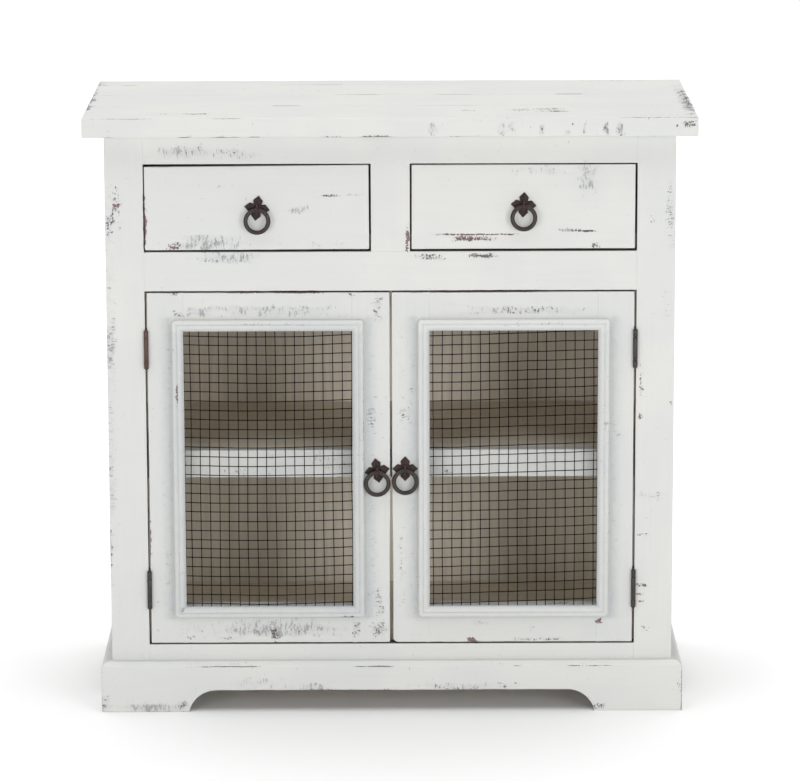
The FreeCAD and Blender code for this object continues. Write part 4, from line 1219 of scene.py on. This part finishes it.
def moulding_loop(low, high, seed, even_grime_and_shade):
    """The whole moulding of one door, as a profile carried round its rectangle."""
    outline = moulding_outline()
    runs = [int((high[0] - low[0]) / RUN_STEP), int((high[2] - low[2]) / RUN_STEP)] * 2
    x, z = corner_path(low[0], high[0], low[2], high[2], outline[:, 0][None, :], runs)
    inset, height = (np.broadcast_to(outline[:, k][None, :], x.shape) for k in (0, 1))
    place = np.stack([x.ravel(), np.zeros(x.size), z.ravel()], 1)
    dip = 0.0004 * (0.5 + 0.5 * ripple(place, (0.05, 0.13), seed)).reshape(x.shape)
    y = FRONT - height + dip * (height > 0.0042)
    points = np.stack([x.ravel(), y.ravel(), z.ravel()], 1)
    arrises = [np.hypot(inset - 0.0007, height - STRIP_HEIGHT + 0.0007),
               np.hypot(inset - 0.0064, height - STRIP_HEIGHT) + 0.0002,
               np.hypot(inset - STRIP_WIDTH, height - TOE) + 0.0006]
    steps_out = np.hypot(np.diff(x[:, :1], axis=0), np.diff(z[:, :1], axis=0))
    run = np.broadcast_to(np.concatenate([[[0]], np.cumsum(steps_out, axis=0)]), x.shape)
    grain = np.stack([run.ravel(), inset.ravel(), height.ravel()], 1)
    return {"points": points, "rest": points, "faces": grid_faces(*x.shape, around=True, flip=True),
            "edge": np.min(arrises, axis=0).ravel(),
            "grime": moulding_grime_and_shade(inset, z, low, high, runs, even_grime_and_shade),
            "grain": grain + np.random.default_rng(seed + 950).uniform(0, 40, 3)}


# An even grey on each moulding, partly grime and partly painted shade, more on the left door than on the
# right.
EVEN_ON_STRIP = {"left": 0.7, "right": 0.4}
for side, sign in SIDES.items():
    body = "door_" + side
    shape = moulding_loop(*span(body + "_moulding"), 100 + sign, EVEN_ON_STRIP[side])
    dress(body + "_moulding_loop", shape, body, [body + "_moulding"], 100 + sign)

# %% [markdown]
# ## Wire mesh
# Half-inch wire cloth is welded from straight wires, but stapled behind a moulding it is never flat: the
# level wires of the left door sag towards the middle, and those of the right door climb to the right. Each
# wire is a tube of six sides round a bent centre line.


# %% Tubes
def tube(centres, radius, sides=6):
    """A round tube along centre points: p = c + r (a cos t + b sin t), with a and b square to the line."""
    ahead = np.gradient(centres, axis=0)
    ahead /= np.linalg.norm(ahead, axis=1, keepdims=True)
    helper = np.array([0, 1.0, 0]) if abs(ahead[0][1]) < 0.9 else np.array([1.0, 0, 0])
    a = np.cross(ahead, helper)
    a /= np.linalg.norm(a, axis=1, keepdims=True)
    b = np.cross(ahead, a)
    turn = np.linspace(0, 2 * np.pi, sides, endpoint=False)
    radius = np.broadcast_to(radius, len(centres))[:, None, None]
    ring = a[:, None] * np.cos(turn)[None, :, None] + b[:, None] * np.sin(turn)[None, :, None]
    return (centres[:, None] + radius * ring).reshape(-1, 3), shut_faces(len(centres), sides)


def add_plain(name, parts, body, material, replaces=(), sharp=40):
    """Join parts, pairs of points and faces, into one piece with one material.

    Edges that turn by more than `sharp` degrees stay sharp, and with None all are smooth.
    """
    faces, offset = [], 0
    for some_points, some_faces in parts:
        faces += [[corner + offset for corner in face] for face in some_faces]
        offset += len(some_points)
    made = put_mesh(name, np.concatenate([points for points, _ in parts]), faces)
    made.data.polygons.foreach_set("use_smooth", np.ones(len(faces), bool))
    made.data.materials.append(material)
    if sharp is not None:
        made.data.set_sharp_from_angle(angle=np.radians(sharp))
    seat(made, body, replaces)
    print(name, len(faces), "faces")


# %% Group: dark wire
wire_material, tree, surface = new_material("dark_wire")
place = node(tree, "ShaderNodeTexCoord").outputs["Object"]
blotch = noise(tree, place, (160, 160, 160), 3.0)
shade = mix(tree, soft_step(tree, blotch, 0.4, 0.62), srgb(9, 8, 7), srgb(19, 15, 12))
tree.links.new(shade, surface.inputs["Base Color"])
tree.links.new(calc(tree, "MULTIPLY_ADD", blotch, 0.5, 0.25), surface.inputs["Roughness"])
surface.inputs["Specular IOR Level"].default_value = 0.06
add_bump(tree, surface, blotch, 0.0002)

# %% Wire mesh
PITCH, WIRE_RADIUS, DRAWN_RADIUS = 0.0127, 0.0005, 0.0006
LEVEL_SHARE = 1.08  # the level wires lie in front and look a little thicker
MARGIN, END_MARGIN, JITTER = 0.0065, 0.0003, 0.00025
SIDE_SHIFT, DROP = {"left": 0.0037, "right": 0.0004}, 0.0012


def warp(points, side, low, high):
    """Sag or climb of the cloth in z, and a little weave out of line."""
    sign = SIDES[side]
    u = (points[:, 0] - low[0]) / (high[0] - low[0])
    moved = points.copy()
    if side == "left":
        moved[:, 2] += 0.0006 + 0.0013 * u - 0.0027 * np.sin(np.pi * u)
    else:
        moved[:, 2] += 0.0073 * u ** 1.25 - 0.0012
    moved[:, 0] += 0.0006 * ripple(points, (0.09, 0.21), 150 + sign)
    moved[:, 2] += 0.0003 * ripple(points, (0.05, 0.14), 160 + sign)
    moved[:, 1] += 0.00012 * ripple(points, (0.08, 0.19), 170 + sign)
    return moved


def cloth_wires(side, low, high):
    """The wires of one door, each a tube: the level ones from the bottom up, then the upright ones."""
    random = np.random.default_rng(140 + SIDES[side])
    columns, rows = (int((high[axis] - low[axis] - 2 * MARGIN) // PITCH) + 1 for axis in (0, 2))
    first_x = (low[0] + high[0] - (columns - 1) * PITCH) / 2 - SIDES[side] * SIDE_SHIFT[side]
    first_z = (low[2] + high[2] - (rows - 1) * PITCH) / 2 - DROP
    xs = np.linspace(low[0] + END_MARGIN, high[0] - END_MARGIN, 37)
    zs = np.linspace(low[2] + END_MARGIN, high[2] - END_MARGIN, 65)
    wires = []
    for row in range(rows):
        z = np.full(len(xs), first_z + row * PITCH)
        line = np.stack([xs, np.full(len(xs), FRONT - WIRE_RADIUS), z], 1)
        line = warp(line + [0, 0, random.normal(0, JITTER)], side, low, high)
        wires.append(tube(line, DRAWN_RADIUS * LEVEL_SHARE))
    for column in range(columns):
        x = np.full(len(zs), first_x + column * PITCH)
        line = np.stack([x, np.full(len(zs), FRONT - 3 * WIRE_RADIUS), zs], 1)
        line = warp(line + [random.normal(0, JITTER), 0, 0], side, low, high)
        wires.append(tube(line, DRAWN_RADIUS))
    print(rows, "level wires and", columns, "upright wires")
    return wires


for side in SIDES:
    body = "door_" + side
    low, high = span(body + "_mesh")
    wires = [(np.clip(points, low, high), faces) for points, faces in cloth_wires(side, low, high)]
    add_plain(body + "_wire_cloth", wires, body, wire_material, [body + "_mesh"], sharp=None)

# %% [markdown]
# ## Iron
# The pulls and hinges are black iron gone brown. Two noises mix a warm and a cool dark, a fine one makes the
# hammered skin, and the roughness varies with that fine noise.

# %% Group: old iron
tree, start, end = new_group("old_iron", {"Place": VECTOR, "Warm": COLOUR, "Cool": COLOUR},
                             {"Color": COLOUR, "Roughness": VALUE, "Height": VALUE})
patch = noise(tree, start["Place"], (110, 110, 110), 3.0, 0.6)
grit = noise(tree, start["Place"], (900, 900, 900), 2.0, 0.6)
dent = noise(tree, start["Place"], (420, 420, 420), 1.0, 0.4)
shade = mix(tree, soft_step(tree, patch, 0.4, 0.6), start["Warm"], start["Cool"])
shade = mix(tree, soft_step(tree, grit, 0.62, 0.75), shade, srgb(96, 66, 52))
finish_group(tree, end, Color=shade, Height=calc(tree, "MULTIPLY_ADD", grit, 0.25, dent),
             Roughness=calc(tree, "MULTIPLY_ADD", grit, 0.3, 0.17))


# %% Iron materials
def iron_material(name, warm, cool, metallic, bump, shine=0.5):
    """Old iron in two tones, on object coordinates. Shine is the strength of the lacquer's highlight."""
    material, tree, surface = new_material(name)
    look = use_group(tree, "old_iron", Place=node(tree, "ShaderNodeTexCoord").outputs["Object"],
                     Warm=(*warm, 1), Cool=(*cool, 1))
    tree.links.new(look["Color"], surface.inputs["Base Color"])
    tree.links.new(look["Roughness"], surface.inputs["Roughness"])
    surface.inputs["Metallic"].default_value = metallic
    surface.inputs["Specular IOR Level"].default_value = shine
    add_bump(tree, surface, look["Height"], bump)
    return material


plate_iron = iron_material("plate_iron", srgb(50, 32, 29), srgb(34, 26, 23), 0.0, 0.0006, 0.22)
eye_iron = iron_material("eye_iron", srgb(74, 46, 42), srgb(50, 36, 32), 0.0, 0.0003, 0.3)
ring_iron = iron_material("ring_iron", srgb(41, 28, 22), srgb(33, 27, 20), 0.0, 0.0004, 0.45)
hinge_iron = iron_material("hinge_iron", srgb(60, 57, 52), srgb(50, 49, 46), 0.1, 0.0003, 0.3)
brown_hinge = iron_material("brown_hinge", srgb(82, 62, 56), srgb(70, 56, 52), 0.1, 0.0003, 0.3)
steel = iron_material("plated_steel", srgb(176, 172, 162), srgb(150, 148, 142), 0.85, 0.0001)
give(steel, "door_catches", "door_left_strike_plate", "door_right_strike_plate")


# %% [markdown]
# ## Hinges
# Only the barrel shows on a closed door: two knuckles on the frame, a longer one on the door between them,
# and a button at each end of the pin. A lathe shape is a profile of radius against height, turned round the
# pin: p = axis + (r cos t, r sin t, z). The leaves are thin boards in the gap, with three screws each.


# %% Lathe
def lathe(profile, sides=24, axis="z"):
    """A solid of revolution about an axis, from (radius, height) pairs that start and end on it."""
    profile = np.array(profile, float)
    turn = np.linspace(0, 2 * np.pi, sides, endpoint=False)
    inner = profile[1:-1]
    ring = np.stack([inner[:, :1] * np.cos(turn), inner[:, :1] * np.sin(turn),
                     np.broadcast_to(inner[:, 1:], (len(inner), sides))], -1).reshape(-1, 3)
    points = np.concatenate([ring, [[0, 0, profile[0][1]], [0, 0, profile[-1][1]]]])
    faces = grid_faces(len(inner), sides).tolist()
    first, last = len(ring), len(ring) + 1
    for a in range(sides):
        faces.append([first, (a + 1) % sides, a])
    for a in range(sides):
        faces.append([last, last - 1 - sides + a, last - 1 - sides + (a + 1) % sides])
    if axis == "y":
        return points[:, [0, 2, 1]], turned_over(faces)
    if axis == "x":
        return points[:, [2, 0, 1]], faces
    return points, faces


def moved(part, place):
    """A part moved to its place."""
    return part[0] + place, part[1]


def mirrored(part, way):
    """A part mirrored by a factor of 1 or -1 for each axis."""
    return part[0] * way, turned_over(part[1])


# %% Hinge pieces
leaves_low, leaves_high = span("frame_hinge_leaves")
pins_low, pins_high = span("hinge_pins")
BARREL, HINGE_HEIGHT, BUTTON_HEIGHT = 0.0032, 0.0516, 0.0015
PIN_X, PIN_Y = pins_high[0] - 0.0024, leaves_low[1] + BARREL
HINGE_FOOT = {"lower": pins_low[2] + BUTTON_HEIGHT, "upper": pins_high[2] - BUTTON_HEIGHT - HINGE_HEIGHT}
MIDDLE_KNUCKLE, AIR = 0.6 * HINGE_HEIGHT, 0.000125
SCREW_STEP, SCREW_SHIFT = 0.018, 0.0025
BUTTON = [(0, 0), (0.0023, 0), (0.0024, 0.0002), (0.0021, 0.0009), (0.0013, 0.0014), (0, BUTTON_HEIGHT)]


def knuckle(x, z0, z1):
    """A rolled knuckle with softened ends."""
    soft = 0.0006
    profile = [(0, z0), (BARREL - soft, z0), (BARREL - 0.0002, z0 + 0.0002), (BARREL, z0 + soft),
               (BARREL * 0.985, (z0 + z1) / 2), (BARREL, z1 - soft), (BARREL - 0.0002, z1 - 0.0002),
               (BARREL - soft, z1), (0, z1)]
    return moved(lathe(profile, 28), (x, PIN_Y, 0))


def leaf(x_faces, z0):
    """A leaf plate in the gap, as a thin board."""
    shape = board((min(x_faces), FRONT + 0.0002, z0), (max(x_faces), leaves_high[1], z0 + HINGE_HEIGHT), "z",
                  radius=0.0002, bow=0, steps=(0.01, 0.01, 0.01))
    return shape["points"], shape["faces"].tolist()


def screw(x, y, z, way):
    """A countersunk screw head that faces along x: a shallow dish with a hollow in its middle."""
    top = 0.00008
    profile = [(0, -0.0004), (0.0030, -0.0004), (0.0030, top * 0.4), (0.0026, top), (0.0011, top),
               (0.0008, -0.0003), (0, -0.0003)]
    head = lathe(profile, 16, "x")
    return moved(mirrored(head, [-1, 1, 1]) if way < 0 else head, [x, y, z])


def add_hinge(side, level, screws):
    """One hinge: two leaves with their knuckles, and the pin's two buttons. Its screws join the lists."""
    sign, foot, body = SIDES[side], HINGE_FOOT[level], "door_" + side
    x, top = sign * PIN_X, foot + HINGE_HEIGHT
    low_end, high_end = foot + (HINGE_HEIGHT - MIDDLE_KNUCKLE) / 2, foot + (HINGE_HEIGHT + MIDDLE_KNUCKLE) / 2
    door_face = span(body + "_hinge_stile")[1 if sign > 0 else 0][0]
    frame_faces = (sign * (PIN_X + 0.0001), sign * OPENING_HALF)
    door_faces = (sign * (PIN_X - 0.0001), door_face)
    frame_parts = [knuckle(x, foot, low_end - AIR), knuckle(x, high_end + AIR, top), leaf(frame_faces, foot)]
    door_parts = [knuckle(x, low_end + AIR, high_end - AIR), leaf(door_faces, foot)]
    for step in (-SCREW_STEP, 0, SCREW_STEP):
        y = (FRONT + leaves_high[1]) / 2 + (SCREW_SHIFT if step else -SCREW_SHIFT)
        z = foot + HINGE_HEIGHT / 2 + step
        screws["frame"].append(screw(frame_faces[0], y, z, -sign))
        screws["door"].append(screw(door_faces[0], y, z, sign))
    button = lathe(BUTTON, 20)
    pin_parts = [moved(mirrored(button, [1, 1, -1]), [x, PIN_Y, foot]), moved(button, [x, PIN_Y, top])]
    label, iron = level + "_" + side, brown_hinge if (level, side) == ("upper", "left") else hinge_iron
    add_plain("hinge_frame_leaf_" + label, frame_parts, "root", iron, ["frame_hinge_leaves"])
    add_plain("hinge_door_leaf_" + label, door_parts, body, iron, [body + "_hinge_leaves"])
    add_plain("hinge_pin_" + label, pin_parts, "root", iron, ["hinge_pins"])


for side in SIDES:
    screws = {"frame": [], "door": []}
    for level in HINGE_FOOT:
        add_hinge(side, level, screws)
    add_plain("hinge_screws_frame_" + side, screws["frame"], "root", steel)
    add_plain("hinge_screws_door_" + side, screws["door"], "door_" + side, steel)

# %% [markdown]
# ## Ring pulls
# Each pull is a flat plate with four pointed arms, cut from sheet and filed along its edge, a split pin whose
# eye stands out through the plate, and a forged ring that hangs low in the eye. The plate's outline is one
# arm turned four times, and its edge is rings of points that step in and up, like a filed bevel.


# %% Pull plate
PLATE_REACH = 0.0171


def turned_by(flat, c, s):
    """Flat points turned by the angle whose cosine is c and whose sine is s."""
    return np.stack([flat[:, 0] * c - flat[:, 1] * s, flat[:, 0] * s + flat[:, 1] * c], 1)


def plate_outline():
    """The outline: four arms that widen to shoulders, end in points and meet in notches."""
    shoulder, half, notch = 0.61 * PLATE_REACH, 0.37 * PLATE_REACH, 0.31 * PLATE_REACH
    quarter = np.array([(shoulder, -half), (PLATE_REACH, 0), (shoulder, half), (notch, notch)])
    return np.concatenate([turned_by(quarter, c, s) for c, s in ((1, 0), (0, 1), (-1, 0), (0, -1))])


def drawn_in(outline, amount):
    """The outline moved inwards by an amount along the two edges' mean normal at each corner."""
    before, after = np.roll(outline, 1, 0), np.roll(outline, -1, 0)
    first = (outline - before) / np.linalg.norm(outline - before, axis=1, keepdims=True)
    second = (after - outline) / np.linalg.norm(after - outline, axis=1, keepdims=True)
    normal_first = np.stack([-first[:, 1], first[:, 0]], 1)
    normal_second = np.stack([-second[:, 1], second[:, 0]], 1)
    middle = normal_first + normal_second
    turn = np.maximum(1 + (normal_first * normal_second).sum(1, keepdims=True), 0.35)
    return outline + middle / turn * amount


def pull_plate(x, z, tilt, thickness):
    """The plate: rings of points at the back, the side, the bevel and the face, and flat ends."""
    outline = split_long(plate_outline(), 0.0035)
    rings = ((0, 0), (0, thickness * 0.55), (0.0003, thickness * 0.85), (0.0009, thickness))
    flat = np.concatenate([drawn_in(outline, amount) for amount, _ in rings])
    depth = np.repeat([height for _, height in rings], len(outline))
    turned = turned_by(flat, np.cos(np.radians(tilt)), np.sin(np.radians(tilt)))
    points = np.stack([x + turned[:, 0], FRONT - depth, z + turned[:, 1]], 1)
    return points, shut_faces(len(rings), len(outline))


# %% Eye and ring
def ring_shape(centre, big, small, around, sides, plane, seed, rough):
    """A torus: p = c + (R + r cos t) outward + r sin t sideways, where r ripples as forged iron does."""
    u = np.linspace(0, 2 * np.pi, around, endpoint=False)
    t = np.linspace(0, 2 * np.pi, sides, endpoint=False)
    u, t = np.meshgrid(u, t, indexing="ij")
    where = np.stack([big * np.cos(u), big * np.sin(u), small * np.cos(t)], -1).reshape(-1, 3)
    r = small * (1 - rough * (0.5 + 0.5 * ripple(where, (0.006, 0.011, 0.023), seed).reshape(u.shape)))
    across, side = big + r * np.cos(t), r * np.sin(t)
    first, second = across * np.cos(u), across * np.sin(u)
    parts = {"xz": (first, side, second), "yz": (side, first, second)}[plane]
    points = np.stack([part.ravel() for part in parts], 1) + np.array(centre)
    return points, grid_faces(around, sides, around=True, flip=plane == "yz").tolist()


def shank(x, z, start, stop, radius=0.0018):
    """The round shank from the eye back through the wood, with a collar on the plate."""
    profile = [(0, start), (radius, start), (radius, FRONT - 0.0030), (radius + 0.0007, FRONT - 0.0026),
               (radius + 0.0009, FRONT - 0.0020), (radius, FRONT - 0.0018), (radius, stop), (0, stop)]
    return moved(lathe(profile, 20, "y"), [x, 0, z])


EYE_WIRE = 0.0012
ARM_REACH, ARM_TAPER = 0.0108, (0.55, 0.9, 1, 1, 1, 1, 1, 0.9, 0.55)


def split_pin(x, low, high, seed):
    """Three parts between two corners: the eye, the shank, and the two arms bent out behind the wood."""
    z, radius = (low[2] + high[2]) / 2, (high[2] - low[2]) / 2 - EYE_WIRE
    eye_y, arm_y = low[1] + radius + EYE_WIRE, high[1] - EYE_WIRE
    count = len(ARM_TAPER)
    across = np.linspace(-ARM_REACH, ARM_REACH, count) + x
    line = np.stack([across, np.full(count, arm_y), np.full(count, z)], 1)
    return [ring_shape((x, eye_y, z), radius, EYE_WIRE, 44, 14, "yz", seed, 0.06),
            shank(x, z, eye_y + radius, arm_y), tube(line, EYE_WIRE * np.array(ARM_TAPER), 14)]


# %% Ring pulls
TILTS = {"drawer_left": -8.6, "drawer_right": -3.4, "door_left": 9.3, "door_right": 0.0}
for number, (body, tilt) in enumerate(TILTS.items()):
    plate_low, plate_high = span(body + "_pull_plate")
    ring_low, ring_high = span(body + "_ring")
    centre, half = (ring_low + ring_high) / 2, (ring_high - ring_low) / 2
    x = centre[0]
    plate = pull_plate(x, (plate_low[2] + plate_high[2]) / 2, tilt, FRONT - plate_low[1])
    add_plain(body + "_plate", [plate], body, plate_iron, [body + "_pull_plate"])
    pin = split_pin(x, *span(body + "_pull_staple"), 200 + number)
    add_plain(body + "_eye", pin, body, eye_iron, [body + "_pull_staple"])
    ring = ring_shape(centre, half[0] - half[1], half[1] * 1.02, 96, 20, "xz", 210 + number, 0.035)
    add_plain("ring_" + body + "_forged", [ring], "ring_" + body, ring_iron, [body + "_ring"])

# %% [markdown]
# ## Panel pins
# The back board is held by small round pins along its edges, as thin backs are.

# %% Panel pins
back_low, back_high = span("back_panel")
EDGE_MARGIN, SIDE_MARGIN, FOOT_MARGIN = 0.008, 0.006, 0.05
HEAD = [(0, -0.0004), (0.0016, -0.0004), (0.0017, 0.0001), (0.0012, 0.0004), (0, 0.0005)]
levels = np.linspace(back_low[2] + FOOT_MARGIN, back_high[2] - EDGE_MARGIN, 6)
uprights = np.linspace(back_low[0] + EDGE_MARGIN, back_high[0] - EDGE_MARGIN, 6)
places = [(x, z) for x in uprights for z in (levels[0], levels[-1])]
places += [(x, z) for z in levels[1:-1] for x in (back_low[0] + SIDE_MARGIN, back_high[0] - SIDE_MARGIN)]
pins = [moved(lathe(HEAD, 12, "y"), [x, back_high[1], z]) for x, z in places]
add_plain("back_pins", pins, "root", steel)
